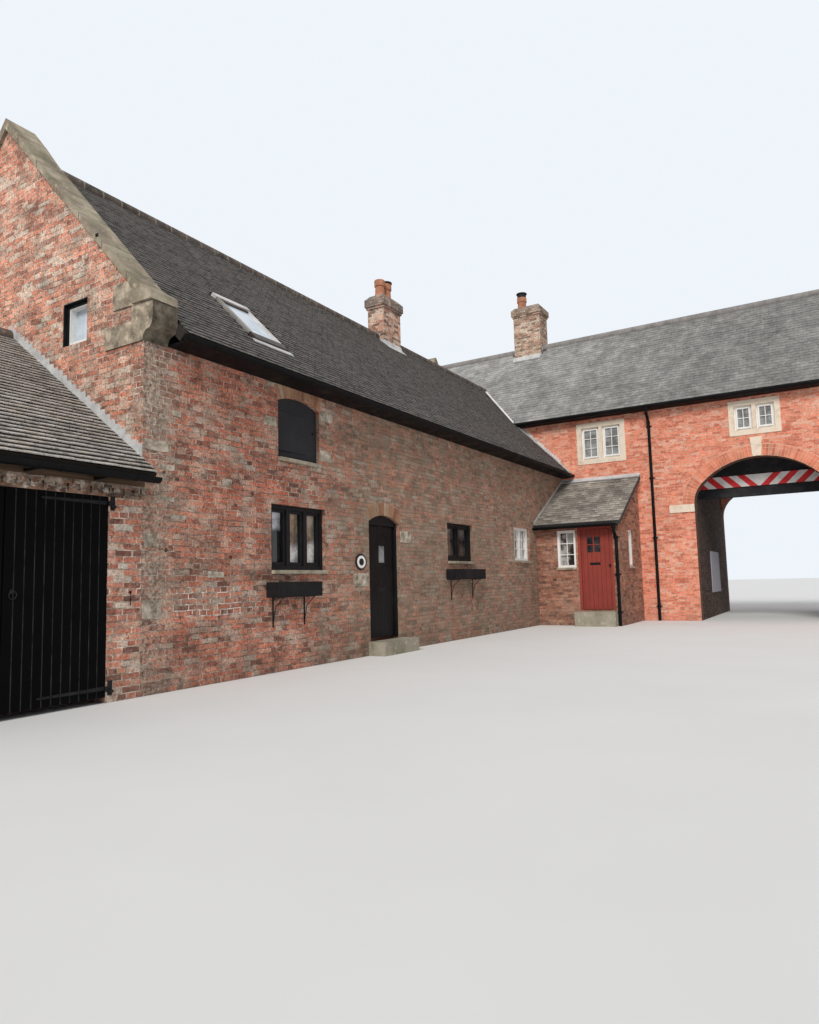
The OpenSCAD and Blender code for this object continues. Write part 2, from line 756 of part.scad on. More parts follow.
// Head of a stack: two projecting bands of brick and a sloped bed of mortar round the pots
stack_over = 60;
crown_h = 190;
crown_foot = 60;
mortar_h = 110;
mortar_run = 100;
module stack_head(xs, ys, top) {
    ox = widen(xs, stack_over);
    oy = widen(ys, stack_over);
    block(ox, oy, [top - crown_h, top]);
    block(widen(xs, stack_over / 2), widen(ys, stack_over / 2),
          [top - crown_h - crown_foot, top - crown_h]);
    intersection() {
        along_x(ox) polygon([[oy[0], top], [oy[1], top], [oy[1] - mortar_run, top + mortar_h],
                             [oy[0] + mortar_run, top + mortar_h]]);
        along_y(oy) polygon([[ox[0], top], [ox[1], top], [ox[1] - mortar_run, top + mortar_h],
                             [ox[0] + mortar_run, top + mortar_h]]);
    }
}

module main_chimney() {
    color(brick_red) {
        main_stack_plan([0, main_stack_z]);
        stack_head(main_stack_xs, main_stack_ys, main_stack_z);
    }
}

module gatehouse_chimney() {
    color(brick_buff) {
        gate_stack_plan([0, gate_stack_z]);
        stack_head(gate_stack_xs, gate_stack_ys, gate_stack_z);
    }
}

pot_h = 440;
pot_r = 125;
pot_band = 160;
pot_gap = 296;
gate_pot_r = 150;

// Chimney pot: slightly tapered barrel with a foot, a deep band and a bevelled lip, open down its flue
module pot(x, y, z, r) {
    translate([x, y, z]) rotate_extrude()
        polygon([[r - 35, 0], [r + 12, 0], [r + 12, 45], [r, 60], [r - 12, pot_h - pot_band - 15],
                 [r + 14, pot_h - pot_band], [r + 14, pot_h - 20], [r, pot_h], [r - 35, pot_h]]);
}

main_pots_x = [for (side = [-1, 1]) main_stack_x + main_stack_w / 2 - 30 + side * pot_gap / 2];
main_pot_y = main_stack_y + main_stack_d / 2;
gate_pot = [gate_stack_x + gate_stack_d / 2, gate_stack_y + 0.79 * gate_stack_w];
module chimney_pots() {
    color(pot_red) {
        for (x = main_pots_x)
            pot(x, main_pot_y, main_stack_z + mortar_h, pot_r);
        pot(gate_pot[0], gate_pot[1], gate_stack_z + mortar_h, gate_pot_r);
    }
}

// Black rain cowls: a low cap on one main pot and a taller drum with a lid on the gatehouse pot
cowl_h = 190;
low_cap_h = 75;
module cowl(x, y, z, r, h) {
    translate([x, y, z]) rotate_extrude()
        polygon([[r - 35, 0], [r, 0], [r, h - 60], [r + 30, h - 60], [r + 30, h - 35], [0, h], [0, h - 20],
                 [r - 35, h - 60]]);
}
module chimney_cowls() {
    color(joinery_black) {
        cowl(main_pots_x[1], main_pot_y, main_stack_z + mortar_h + pot_h, pot_r, low_cap_h);
        cowl(gate_pot[0], gate_pot[1], gate_stack_z + mortar_h + pot_h, gate_pot_r, cowl_h);
    }
}

// Hinges: each leaf has straps with an eye, and each post has pintles whose pin stands in the eye
pin_gap = 0.3;
garage_pin_r = 8;
garage_pin_out = 20;
garage_strap_t = 6;
garage_strap_len = 720;
house_pin_r = 5;
house_pin_out = 12;
house_strap_t = 4;
house_strap_len = 110;
strap_h = 40;
pin_step = 3;

// Strap seen from above: pin at the origin, leaf toward -X with its face at a distance along +Y
module strap(pin_r, out, t, len) {
    linear_extrude(strap_h) difference() {
        union() {
            circle(2 * pin_r);
            translate([-len, out - t]) square([len, t]);
            translate([-2 * pin_r, 0]) square([2 * pin_r, out]);
        }
        circle(pin_r + pin_gap);
    }
}

// Pintle under a strap's eye, fixed to the wall or post beyond the leaf's edge
module pintle(pin_r, out) {
    arm = 1.5 * pin_r;
    reach = 10 * pin_r;
    translate([0, 0, -arm - 2]) {
        cylinder(r = pin_r, h = arm + 2 + strap_h);
        block([0, reach], [-pin_r, pin_r], [0, arm]);
        block([reach / 3, reach], [-pin_r, out], [-2 * pin_r, arm]);
    }
}

garage_pin_right = -garage_pier_w - pin_step;
garage_pin_left = garage_door_x + pin_step;
garage_strap_zs = [garage_door_gap + 70, garage_door_h - 90];
front_pin_x = front_door_x + front_door_w - frame_w - pin_step;
porch_pin_y = porch_door_y + frame_w + pin_step;
house_strap_zs = [220, 1650];

// Places the hinges of each door: a strap on the leaf, or a pintle on its post
module at_garage_hinges(x, mirrored) {
    for (z = garage_strap_zs)
        translate([x, -garage_pin_out, z]) mirror([mirrored ? 1 : 0, 0, 0]) children();
}
module at_front_hinges() {
    for (z = house_strap_zs)
        translate([front_pin_x, reveal + frame_d + house_pin_out, floor_z + z]) mirror([0, 1, 0])
            children();
}
module at_porch_hinges() {
    for (z = house_strap_zs)
        translate([porch_x + porch_reveal + frame_d + house_pin_out, porch_pin_y, porch_step_z + z])
            rotate([0, 0, -90]) mirror([0, 1, 0]) children();
}
porch_reveal = 30;

module hinge_pintles() {
    color(joinery_black) {
        at_garage_hinges(garage_pin_right, false) pintle(garage_pin_r, garage_pin_out);
        at_garage_hinges(garage_pin_left, true) pintle(garage_pin_r, garage_pin_out);
        at_front_hinges() pintle(house_pin_r, house_pin_out);
        at_porch_hinges() pintle(house_pin_r, house_pin_out);
    }
}

// Frame of a window or door drawn in a wall opening: width, height, number of lights
module frame_face(w, h, lights) {
    difference() {
        square([w, h]);
        step = (w - frame_w) / lights;
        for (i = [0 : lights - 1])
            translate([frame_w + i * step, frame_w]) square([step - frame_w, h - 2 * frame_w]);
    }
}

// Frames on the three sorts of wall: facing -Y, facing -X and facing +Y or +X
module front_frame(x, face, z, w, h, lights) {
    translate([x, 0, z]) along_y([face + reveal, face + reveal + frame_d]) frame_face(w, h, lights);
}
module side_frame(face, y, z, w, h, lights) {
    translate([0, y, z]) along_x([face + reveal, face + reveal + frame_d]) frame_face(w, h, lights);
}

// Sheet of glass behind a frame's bars
module front_glass(x, face, z, w, h) {
    block([x, x + w], [face, face + glass_t], [z, z + h]);
}
module side_glass(face, y, z, w, h) {
    block([face, face + glass_t], [y, y + w], [z, z + h]);
}

module black_window_frames() {
    color(joinery_black) {
        front_frame(window_a_x, 0, window_a_z, window_a_w, window_a_h, 3);
        front_frame(window_b_x, 0, window_b_z, window_b_w, window_b_h, 2);
        for (x = rear_windows_x)
            front_frame(x, main_depth - 2 * reveal - frame_d, rear_window_z, rear_window_w,
                        rear_window_h, 2);
    }
}

// Clear lights of the two-light stone surrounds
surround_mullion = 90;
surround_sill = 130;
light_w = (surround_w - 2 * surround_band - surround_mullion) / 2;
light_h = surround_h - surround_band - surround_sill;
small_light_w = (small_surround_w - 2 * surround_band - surround_mullion) / 2;
small_light_h = small_surround_h - surround_band - surround_sill;

// Stone lights: place along Y, height of the foot, width and height
stone_lights = [
    for (y = upper_windows_y, i = [0, 1])
        [y + surround_band + i * (light_w + surround_mullion), surround_z + surround_sill,
         light_w, light_h],
    for (i = [0, 1])
        [-arch_y - small_surround_w / 2 + surround_band + i * (small_light_w + surround_mullion),
         small_surround_z + surround_sill, small_light_w, small_light_h]];

porch_window_w = 480;
porch_window_h = 930;
porch_window_z = 1430;
porch_window_gap = 50;
porch_window_y = porch_door_y + porch_door_w + porch_window_gap;
porch_side_window_in = 940;
porch_side_window_x = porch_x + porch_side_window_in;
porch_side_window_w = 420;

module white_window_frames() {
    color(joinery_white) {
        front_frame(window_c_x, 0, window_c_z, window_c_w, window_c_h, 2);
        side_frame(0, gable_window_y, gable_window_z, gable_window_w, gable_window_h, 1);
        for (l = stone_lights)
            side_frame(gate_x, l[0], l[1], l[2], l[3], 1);
        side_frame(gate_x, ground_window_y, ground_window_z, ground_window_w, ground_window_h, 2);
        for (y = gate_rear_windows_y)
            side_frame(gate_back - 2 * reveal - frame_d, y, rear_upper_z, rear_window_w, rear_upper_h, 2);
        side_frame(porch_x - reveal / 2, porch_window_y, porch_window_z, porch_window_w,
                   porch_window_h, 1);
        front_frame(porch_side_window_x, porch_y - reveal / 2, porch_window_z, porch_side_window_w,
                    porch_window_h, 1);
    }
}

module window_glass() {
    color("#9fb2bd") {
        front_glass(window_a_x, reveal + frame_d, window_a_z, window_a_w, window_a_h);
        front_glass(window_b_x, reveal + frame_d, window_b_z, window_b_w, window_b_h);
        front_glass(window_c_x, reveal + frame_d, window_c_z, window_c_w, window_c_h);
        side_glass(reveal + frame_d, gable_window_y, gable_window_z, gable_window_w, gable_window_h);
        for (x = rear_windows_x)
            front_glass(x, main_depth - 2 * reveal - frame_d - glass_t, rear_window_z, rear_window_w,
                        rear_window_h);
        for (l = stone_lights)
            side_glass(gate_x + reveal + frame_d, l[0], l[1], l[2], l[3]);
        side_glass(gate_x + reveal + frame_d, ground_window_y, ground_window_z, ground_window_w,
                   ground_window_h);
        for (y = gate_rear_windows_y)
            side_glass(gate_back - 2 * reveal - frame_d - glass_t, y, rear_upper_z, rear_window_w,
                       rear_upper_h);
        side_glass(porch_x + reveal / 2 + frame_d, porch_window_y, porch_window_z, porch_window_w,
                   porch_window_h);
        front_glass(porch_side_window_x, porch_y + reveal / 2 + frame_d, porch_window_z,
                    porch_side_window_w, porch_window_h);
    }
}

// Sill laid in the foot of an opening and run a little way out of it
sill_out = 45;
module front_sill(x, face, z, w) {
    block([x, x + w], [face - sill_out, face + reveal + frame_d], [z - sill_t, z]);
}
module side_sill(face, y, z, w) {
    block([face - sill_out, face + reveal + frame_d], [y, y + w], [z - sill_t, z]);
}

module window_sills() {
    color(stone_buff) {
        front_sill(window_a_x, 0, window_a_z, window_a_w);
        front_sill(window_b_x, 0, window_b_z, window_b_w);
        front_sill(window_c_x, 0, window_c_z, window_c_w);
        front_sill(shutter_x, 0, shutter_z, shutter_w);
        for (x = rear_windows_x)
            block([x, x + rear_window_w], [main_depth - reveal - frame_d, main_depth + sill_out],
                  [rear_window_z - sill_t, rear_window_z]);
        side_sill(gate_x, ground_window_y, ground_window_z, ground_window_w);
        for (y = gate_rear_windows_y)
            block([gate_back - reveal - frame_d, gate_back + sill_out], [y, y + rear_window_w],
                  [rear_upper_z - sill_t, rear_upper_z]);
        side_sill(porch_x, porch_window_y, porch_window_z, porch_window_w);
        front_sill(porch_side_window_x, porch_y, porch_window_z, porch_side_window_w);
    }
}

strap_in = 120;

// Boarded shutter that fills the arched loft opening, with two long strap hinges
module loft_shutter() {
    color(joinery_black) {
        along_y([reveal, reveal + frame_d])
            polygon(segment_head(shutter_x, shutter_z, shutter_w, shutter_spring, shutter_rise));
        for (z = [shutter_z + strap_in, shutter_spring - strap_in])
            block([shutter_x + 10, shutter_x + shutter_w * 0.7], [reveal - 12, reveal],
                  [z, z + strap_h]);
    }
}

// Frame of the front door: two posts, a head and the solid arched panel over it
module front_door_frame() {
    color(joinery_black) along_y([reveal, reveal + frame_d]) difference() {
        polygon(segment_head(front_door_x, floor_z, front_door_w, front_door_spring, front_door_rise));
        translate([front_door_x + frame_w, floor_z - 1])
            square([front_door_w - 2 * frame_w, front_door_top - floor_z + 1]);
    }
}

// Small light in a door leaf: a recess on both faces, with the pane left between them
pane_t = 12;
front_light_x = front_door_x + 430;
front_light_z = 1510;
front_light_w = 190;
front_light_h = 290;
front_door_foot = floor_z + floor_gap;

// Front door leaf; it swings inward on its right-hand edge
module front_door() {
    back = reveal + frame_d;
    rebate = (leaf_t - pane_t) / 2;
    color(joinery_black) {
        difference() {
            block([front_door_x + frame_w + leaf_gap, front_door_x + front_door_w - frame_w - leaf_gap],
                  [back - leaf_t, back], [front_door_foot, front_door_top - leaf_gap]);
            for (y = [[back - leaf_t - 1, back - leaf_t + rebate], [back - rebate, back + 1]])
                block([front_light_x, front_light_x + front_light_w], y,
                      [front_light_z, front_light_z + front_light_h]);
        }
        at_front_hinges() strap(house_pin_r, house_pin_out, house_strap_t, house_strap_len);
    }
}

roof_frame = 70;
curb_h = 45;
hood = 70;

// Roof window: frame and sash as one curb, its glass, and a hood over the head
module roof_window() {
    inner_x = [roof_frame, roof_window_w - roof_frame];
    inner_y = [roof_frame, roof_window_len - roof_frame];
    color("#3c3f42") on_front_slope(roof_window_x, roof_window_y) {
        difference() {
            block([0, roof_window_w], [0, roof_window_len], [-roof_t, curb_h]);
            block(inner_x, inner_y, [-roof_t - 1, curb_h + 1]);
        }
        block(inner_x, inner_y, [10, 10 + glass_t]);
        block([-10, roof_window_w + 10], [roof_window_len, roof_window_len + hood], [seat, curb_h + 8]);
    }
}

box_h = 210;
box_d = 210;
box_wall = 15;
box_under = 110;
box_stand = 15;
bracket_h = 220;
bracket_head = 60;

// Window box: open trough, on two brackets from the wall
module window_box(x, w, sill_z) {
    z = sill_z - sill_t - box_under - box_h;
    y = [-box_d - box_stand, -box_stand];
    difference() {
        block([x, x + w], y, [z, z + box_h]);
        block([x + box_wall, x + w - box_wall], [y[0] + box_wall, y[1] - box_wall],
              [z + box_wall, z + box_h + 1]);
    }
    for (i = [0.15, 0.85])
        along_x([x + w * i - box_wall, x + w * i + box_wall])
            polygon([[0, z - bracket_h], [0, z + bracket_head], [-box_stand, z + bracket_head],
                     [-box_stand, z], [-box_d, z], [-box_stand, z - bracket_h]]);
}

module window_boxes() {
    color(joinery_black) {
        window_box(window_a_x - 120, window_a_w - 250, window_a_z);
        window_box(window_b_x - 110, window_b_w + 220, window_b_z);
    }
}

// Garage wing

module garage_piers() {
    color(brick_red) {
        block([-garage_pier_w, 0], [0, wall_t], [0, garage_door_h]);
        block([garage_end, garage_door_x], [0, wall_t], [0, garage_door_h]);
    }
}

dentil = 65;
dentil_out = 30;
course = 69;
garage_plate_z = 2290;
plate_h = 80;
plate_t = 50;
oversail_h = 45;

// Wall over the garage doors, with a course of dentils under an oversailing course
module garage_lintel_wall() {
    over_z = garage_plate_z - oversail_h;
    color(brick_red) {
        along_x([garage_end, 0]) polygon([
            [0, garage_door_h], [wall_t, garage_door_h], [wall_t, garage_under(wall_t)],
            [0, garage_under(0)], [0, garage_plate_z], [-dentil_out, garage_plate_z],
            [-dentil_out, over_z], [0, over_z]]);
        for (x = [garage_end + dentil : 2 * dentil : -dentil])
            block([x, x + dentil], [-dentil_out, 0], [over_z - course, over_z]);
    }
}

// Timber plates along the garage's eaves, over the oversailing course
module garage_eaves_plates() {
    color(timber_brown) for (y = [[-plate_t, 0], [garage_depth, garage_depth + plate_t]])
        block([garage_end, 0], y, [garage_plate_z, garage_plate_z + plate_h]);
}

module garage_gable_wall() {
    color(brick_red) along_x([garage_end, garage_end + garage_wall_t]) polygon([
        [wall_t, 0], [garage_depth, 0], [garage_depth, garage_under(garage_depth)],
        [garage_ridge_y, garage_under(garage_ridge_y)], [wall_t, garage_under(wall_t)]]);
}

module garage_rear_wall() {
    y = garage_depth - garage_wall_t;
    color(brick_red) along_x([garage_end + garage_wall_t, 0]) polygon([
        [y, 0], [garage_depth, 0], [garage_depth, garage_under(garage_depth)], [y, garage_under(y)]]);
}

module garage_roof_front() {
    color(tile_brown) along_x([garage_end - verge, 0])
        polygon(slope(-garage_over, garage_ridge_y, garage_ridge_z, garage_pitch, garage_roof_t));
}

module garage_roof_rear() {
    color(tile_brown) along_x([garage_end - verge, 0])
        polygon(slope(garage_depth + garage_over, garage_ridge_y, garage_ridge_z, garage_pitch,
                      garage_roof_t));
}

// Boarded garage leaf that closes the doorway flush with the brickwork
module garage_leaf(x0, x1) {
    block([x0, x1], [0, leaf_t], [garage_door_gap, garage_door_h - leaf_gap]);
}

module garage_door_right() {
    color(joinery_black) {
        garage_leaf(-garage_pier_w - garage_leaf_w + leaf_gap, -garage_pier_w - leaf_gap);
        at_garage_hinges(garage_pin_right, false)
            strap(garage_pin_r, garage_pin_out, garage_strap_t, garage_strap_len);
    }
}

module garage_door_left() {
    color(joinery_black) {
        garage_leaf(garage_door_x + leaf_gap, garage_door_x + garage_leaf_w - leaf_gap);
        at_garage_hinges(garage_pin_left, true)
            strap(garage_pin_r, garage_pin_out, garage_strap_t, garage_strap_len);
    }
}

// Lead: stepped where a slope meets a wall, and dressed as an apron where it falls away from one
flash_t = 8;
flash_h = 90;
flash_step = 230;
apron_up = 60;
apron_reach = 150;
module stepped_flashing(y0, y1, z0, pitch) {
    for (i = [0 : ceil((y1 - y0) / flash_step) - 1]) {
        a = y0 + i * flash_step;
        b = min(a + flash_step, y1);
        top = z0 + (b - y0) * tan(pitch) + flash_h;
        polygon([[a, z0 + (a - y0) * tan(pitch) + seat], [b, z0 + (b - y0) * tan(pitch) + seat],
                 [b, top], [a, top]]);
    }
}
module apron_profile(z, pitch, up, reach) {
    fall = tan(pitch);
    lie = seat + flash_t;
    polygon([[0, z + seat], [0, z + up], [flash_t, z + up], [flash_t, z - flash_t * fall + lie],
             [reach, z - reach * fall + lie], [reach, z - reach * fall + seat]]);
}

// Both aprons of a stack that stands on a ridge, drawn across the ridge, and the cheeks beside it
module stack_aprons(range, z0, z1, pitch) {
    translate([range[0], 0]) mirror([1, 0]) apron_profile(z0, pitch, 2 * apron_up, apron_reach);
    translate([range[1], 0]) apron_profile(z1, pitch, 2 * apron_up, apron_reach);
}
module stack_cheek(range, ridge, ridge_z, z0, z1) {
    polygon([[range[0], z0 + seat], [ridge, ridge_z + seat], [range[1], z1 + seat],
             [range[1], z1 + 2 * apron_up], [ridge, ridge_z + 2 * apron_up], [range[0], z0 + 2 * apron_up]]);
}

// Strip in the main wall over the porch roof
module porch_strip(x0) {
    polygon([[x0, porch_top(x0) + seat], [gate_x, porch_top_z + seat], [gate_x, porch_top_z + apron_up],
             [x0, porch_top(x0) + apron_up]]);
}

module lead_flashings() {
    garage_y1 = garage_depth + garage_over;
    color(lead_grey) {
        along_x([-flash_t, 0]) {
            stepped_flashing(0, garage_ridge_y, garage_eave_z, garage_pitch);
            translate([garage_y1, 0]) mirror([1, 0])
                stepped_flashing(0, garage_y1 - garage_ridge_y, garage_top(garage_y1), garage_pitch);
        }
        along_x([gate_x - flash_t, gate_x])
            stepped_flashing(0, gate_gutter_end - flash_h, main_eave_z, main_pitch);
        along_x(widen(main_stack_xs, flash_t)) stack_aprons(
            main_stack_ys, main_top(main_stack_ys[0]), main_top(main_stack_ys[1]), main_pitch);
        for (x = [main_stack_xs[0] - flash_t, main_stack_xs[1]])
            along_x([x, x + flash_t]) stack_cheek(main_stack_ys, main_ridge_y, main_ridge_z,
                main_top(main_stack_ys[0]), main_top(main_stack_ys[1]));
        along_y(widen(gate_stack_ys, flash_t)) stack_aprons(
            gate_stack_xs, gate_top(gate_stack_xs[0]), gate_top(gate_stack_xs[1]), gate_pitch);
        for (y = [gate_stack_ys[0] - flash_t, gate_stack_ys[1]])
            along_y([y, y + flash_t]) stack_cheek(gate_stack_xs, gate_ridge_x, gate_ridge_z,
                gate_top(gate_stack_xs[0]), gate_top(gate_stack_xs[1]));
        along_y([porch_y - porch_verge, 0]) translate([gate_x, 0]) mirror([1, 0])
            apron_profile(porch_top_z, porch_pitch, apron_up, apron_reach);
        along_y([-flash_t, 0]) porch_strip(porch_x - porch_over + 2 * gutter_tuck);
        on_front_slope(roof_window_x, roof_window_y)
            block([-60, roof_window_w + 60], [-apron_reach, 0], [seat, seat + flash_t]);
    }
}

// Gatehouse

module gate_wall_profile() {
    polygon([[gate_x, 0], [gate_x + wall_t, 0], [gate_x + wall_t, gate_under(gate_x + wall_t)],
             [gate_x, gate_under(gate_x)]]);
}

module gate_front_openings() {
    outer = through(gate_x, wall_t);
    for (y = upper_windows_y)
        block(outer, [y, y + surround_w], [surround_z, surround_z + surround_h]);
    block(outer, [-arch_y - small_surround_w / 2, -arch_y + small_surround_w / 2],
          [small_surround_z, small_surround_z + small_surround_h]);
    block(outer, [ground_window_y, ground_window_y + ground_window_w],
          [ground_window_z - sill_t, ground_window_z + ground_window_h]);
    block(outer, [porch_inner_y, porch_inner_y + porch_door_w], [floor_z, porch_inner_top]);
}

porch_inner_y = porch_y + 590;
porch_inner_top = 2250;

module gatehouse_front_walls() {
    color(brick_orange) difference() {
        along_y([gate_end + wall_t, main_depth - wall_t]) gate_wall_profile();
        block(through(gate_x, wall_t), [arch_far, arch_near], [-10, gate_ridge_z]);
        gate_front_openings();
    }
}

// Outline of the carriageway under its arch, a little wider than the wall's part that it cuts
module arch_opening() {
    polygon(concat([[arch_far - 1, -10], [arch_near + 1, -10], [arch_near + 1, arch_spring]],
                   basket_curve(0), [[arch_far - 1, arch_spring]]));
}

module gatehouse_arch_wall() {
    color(brick_orange) difference() {
        along_y([arch_far, arch_near]) gate_wall_profile();
        along_x(through(gate_x, wall_t)) arch_opening();
        gate_front_openings();
    }
}

module gatehouse_rear_walls() {
    x = gate_back - wall_t;
    color(brick_orange) difference() {
        along_y([gate_end + wall_t, main_depth - wall_t]) polygon([
            [x, 0], [gate_back, 0], [gate_back, gate_under(gate_back)], [x, gate_under(x)]]);
        block(through(x, wall_t), [arch_far, arch_near], [-10, gate_ridge_z]);
        gate_rear_openings();
    }
}

module gate_rear_openings() {
    for (y = gate_rear_windows_y)
        block(through(gate_back - wall_t, wall_t), [y, y + rear_window_w],
              [rear_upper_z - sill_t, rear_upper_z + rear_upper_h]);
}

module gatehouse_wall_over_passage() {
    x = gate_back - wall_t;
    color(brick_orange) difference() {
        along_y([arch_far, arch_near]) polygon([
            [x, 0], [gate_back, 0], [gate_back, gate_under(gate_back)], [x, gate_under(x)]]);
        along_x(through(x, wall_t)) arch_opening();
        gate_rear_openings();
    }
}

module passage_walls() {
    color(brick_orange) {
        block([gate_x + wall_t, gate_back - wall_t], [arch_near, arch_near + wall_t],
              [0, passage_ceiling_z + floor_t]);
        block([gate_x + wall_t, gate_back - wall_t], [arch_far - wall_t, arch_far],
              [0, passage_ceiling_z + floor_t]);
    }
}

module gatehouse_gable_walls() {
    color(brick_orange) {
        for (y = [[gate_end, gate_end + wall_t], [main_depth - wall_t, main_depth]])
            along_y(y) translate([gate_x, 0]) gable_profile(gate_depth, gate_line, gate_coping_pitch);
    }
}

module gatehouse_roof_front() {
    color(slate_grey) difference() {
        along_y([gate_end + wall_t, main_depth - wall_t])
            polygon(slope(gate_x - gate_over, gate_ridge_x, gate_ridge_z, gate_pitch, roof_t));
        along_x([gate_x - 2 * gate_over, gate_x]) polygon([
            [0, main_top(0)], [main_ridge_y, main_ridge_z], [main_depth, main_top(main_depth)],
            [main_depth, 0], [0, 0]]);
        gate_stack_plan([0, gate_stack_z]);
    }
}

module gatehouse_roof_rear() {
    color(slate_grey) difference() {
        along_y([gate_end + wall_t, main_depth - wall_t])
            polygon(slope(gate_back + gate_over, gate_ridge_x, gate_ridge_z, gate_pitch, roof_t));
        gate_stack_plan([0, gate_stack_z]);
    }
}

ring_proud = 12;

// Ring of arch bricks, a little proud of both walls
module arch_ring() {
    color(brick_orange) for (x = [[gate_x - ring_proud, gate_x], [gate_back, gate_back + ring_proud]])
        along_x(x) difference() {
            polygon(basket_curve(arch_ring_d));
            arch_opening();
        }
}

impost_w = 620;
impost_h = 200;
key_w = 280;
key_foot = 190;
stone_proud = 30;
module arch_stones() {
    color(stone_buff) {
        block([gate_x - stone_proud, gate_x], [arch_near, arch_near + impost_w],
              [arch_spring - impost_h, arch_spring]);
        block([gate_x - stone_proud, gate_x], [arch_far - impost_w, arch_far],
              [arch_spring - impost_h, arch_spring]);
        along_x([gate_x - stone_proud - ring_proud, gate_x - ring_proud]) polygon([
            [-arch_y - key_foot / 2, arch_crown_z], [-arch_y + key_foot / 2, arch_crown_z],
            [-arch_y + key_w / 2, arch_crown_z + key_h], [-arch_y - key_w / 2, arch_crown_z + key_h]]);
    }
}

// Stone frame of a two-light window: jambs, head, sill and mullion
surround_d = 150;
surround_proud = 20;
module surround(y, z, w, h, lw, lh) {
    along_x([gate_x - surround_proud, gate_x - surround_proud + surround_d]) difference() {
        translate([y, z]) square([w, h]);
        for (i = [0, 1])
            translate([y + surround_band + i * (lw + surround_mullion), z + surround_sill])
                square([lw, lh]);
    }
}

module window_surrounds() {
    color(stone_buff) {
        for (y = upper_windows_y)
            surround(y, surround_z, surround_w, surround_h, light_w, light_h);
        surround(-arch_y - small_surround_w / 2, small_surround_z, small_surround_w, small_surround_h,
                 small_light_w, small_light_h);
    }
}

board_x = gate_x + wall_t + 400;
board_z = arch_spring + 425;
board_h = 300;
beam_d = 200;
beam_z = arch_spring + 175;

// Height board hung on the front of the beam
module height_board() {
    color(joinery_white)
        block([board_x - board_t, board_x], [arch_far, arch_near], [board_z, board_z + board_h]);
}

// Black beam across the carriageway, up to its ceiling
module passage_beams() {
    color(joinery_black)
        block([board_x, board_x + beam_d], [arch_far, arch_near], [beam_z, passage_ceiling_z]);
}

// Porch

module porch_front_wall() {
    color(brick_red) difference() {
        along_y([porch_y, 0]) polygon([
            [porch_x, 0], [porch_x + porch_wall_t, 0],
            [porch_x + porch_wall_t, porch_under(porch_x + porch_wall_t)],
            [porch_x, porch_under(porch_x)]]);
        block(through(porch_x, porch_wall_t), [porch_door_y, porch_door_y + porch_door_w],
              [porch_step_z, porch_door_top]);
        block(through(porch_x, porch_wall_t), [porch_window_y, porch_window_y + porch_window_w],
              [porch_window_z - sill_t, porch_window_z + porch_window_h]);
    }
}

module porch_side_wall() {
    x0 = porch_x + porch_wall_t;
    color(brick_red) difference() {
        along_y([porch_y, porch_y + porch_wall_t]) polygon([
            [x0, 0], [gate_x, 0], [gate_x, porch_under(gate_x)], [x0, porch_under(x0)]]);
        block([porch_side_window_x, porch_side_window_x + porch_side_window_w],
              through(porch_y, porch_wall_t),
              [porch_window_z - sill_t, porch_window_z + porch_window_h]);
    }
}

porch_verge = 90;
module porch_roof() {
    eave = porch_x - porch_over;
    color(slate_grey) along_y([porch_y - porch_verge, 0])
        polygon(slope(eave, gate_x, porch_top_z, porch_pitch, porch_roof_t));
}

module porch_door_frame() {
    color(door_red) along_x([porch_x + porch_reveal, porch_x + porch_reveal + frame_d]) difference() {
        translate([porch_door_y, porch_step_z]) square([porch_door_w, porch_door_top - porch_step_z]);
        translate([porch_door_y + frame_w, porch_step_z - 1])
            square([porch_door_w - 2 * frame_w, porch_door_top - porch_step_z - frame_w + 1]);
    }
}

// Porch door leaf, with a two-pane light; it swings inward
porch_light_y = porch_door_y + 330;
porch_light_z = 1790;
porch_pane_w = 145;
porch_light_h = 380;
porch_bar = 30;
module porch_door() {
    back = porch_x + porch_reveal + frame_d;
    rebate = (leaf_t - pane_t) / 2;
    color(door_red) {
        difference() {
            block([back - leaf_t, back],
                  [porch_door_y + frame_w + leaf_gap, porch_door_y + porch_door_w - frame_w - leaf_gap],
                  [porch_step_z + floor_gap, porch_door_top - frame_w - leaf_gap]);
            for (x = [[back - leaf_t - 1, back - leaf_t + rebate], [back - rebate, back + 1]],
                 y = [porch_light_y, porch_light_y + porch_pane_w + porch_bar])
                block(x, [y, y + porch_pane_w], [porch_light_z, porch_light_z + porch_light_h]);
        }
        at_porch_hinges() strap(house_pin_r, house_pin_out, house_strap_t, house_strap_len);
    }
}

step_out = 320;
step_side = 60;
step_drop = 30;
module door_steps() {
    color(stone_buff) {
        block([front_door_x - step_side, front_door_x + front_door_w + step_side], [-step_out, 0],
              [0, floor_z - step_drop]);
        block([porch_x - step_out, porch_x],
              [porch_door_y - step_side, porch_door_y + porch_door_w + step_side],
              [0, porch_step_z - step_drop]);
    }
}

row() main_gable_wall();
row() main_front_walls();
row() main_wall_over_door();
row() main_rear_wall();
row() main_roof_front();
row() main_roof_rear();
row() valley_roof();
row() gable_copings();
row() kneeler_stones();
row() ground_floors();
row() upper_floors();
row() ridge_tiles();
row() gutters();
row() downpipes();
row() main_chimney();
row() gatehouse_chimney();
row() chimney_pots();
row() chimney_cowls();
row() black_window_frames();
row() white_window_frames();
row() window_glass();
row() window_sills();
row() loft_shutter();
row() front_door_frame();
row() front_door();
row() roof_window();
row() window_boxes();
row() garage_piers();
row() garage_lintel_wall();
row() garage_eaves_plates();
row() garage_gable_wall();
row() garage_rear_wall();
row() garage_roof_front();
row() garage_roof_rear();
row() garage_door_right();
row() garage_door_left();
row() lead_flashings();
row() gatehouse_front_walls();
row() gatehouse_arch_wall();
row() gatehouse_rear_walls();
row() gatehouse_wall_over_passage();
row() passage_walls();
row() gatehouse_gable_walls();
row() gatehouse_roof_front();
row() gatehouse_roof_rear();
row() arch_ring();
row() arch_stones();
row() window_surrounds();
row() height_board();
row() passage_beams();
row() porch_front_wall();
row() porch_side_wall();
row() porch_roof();
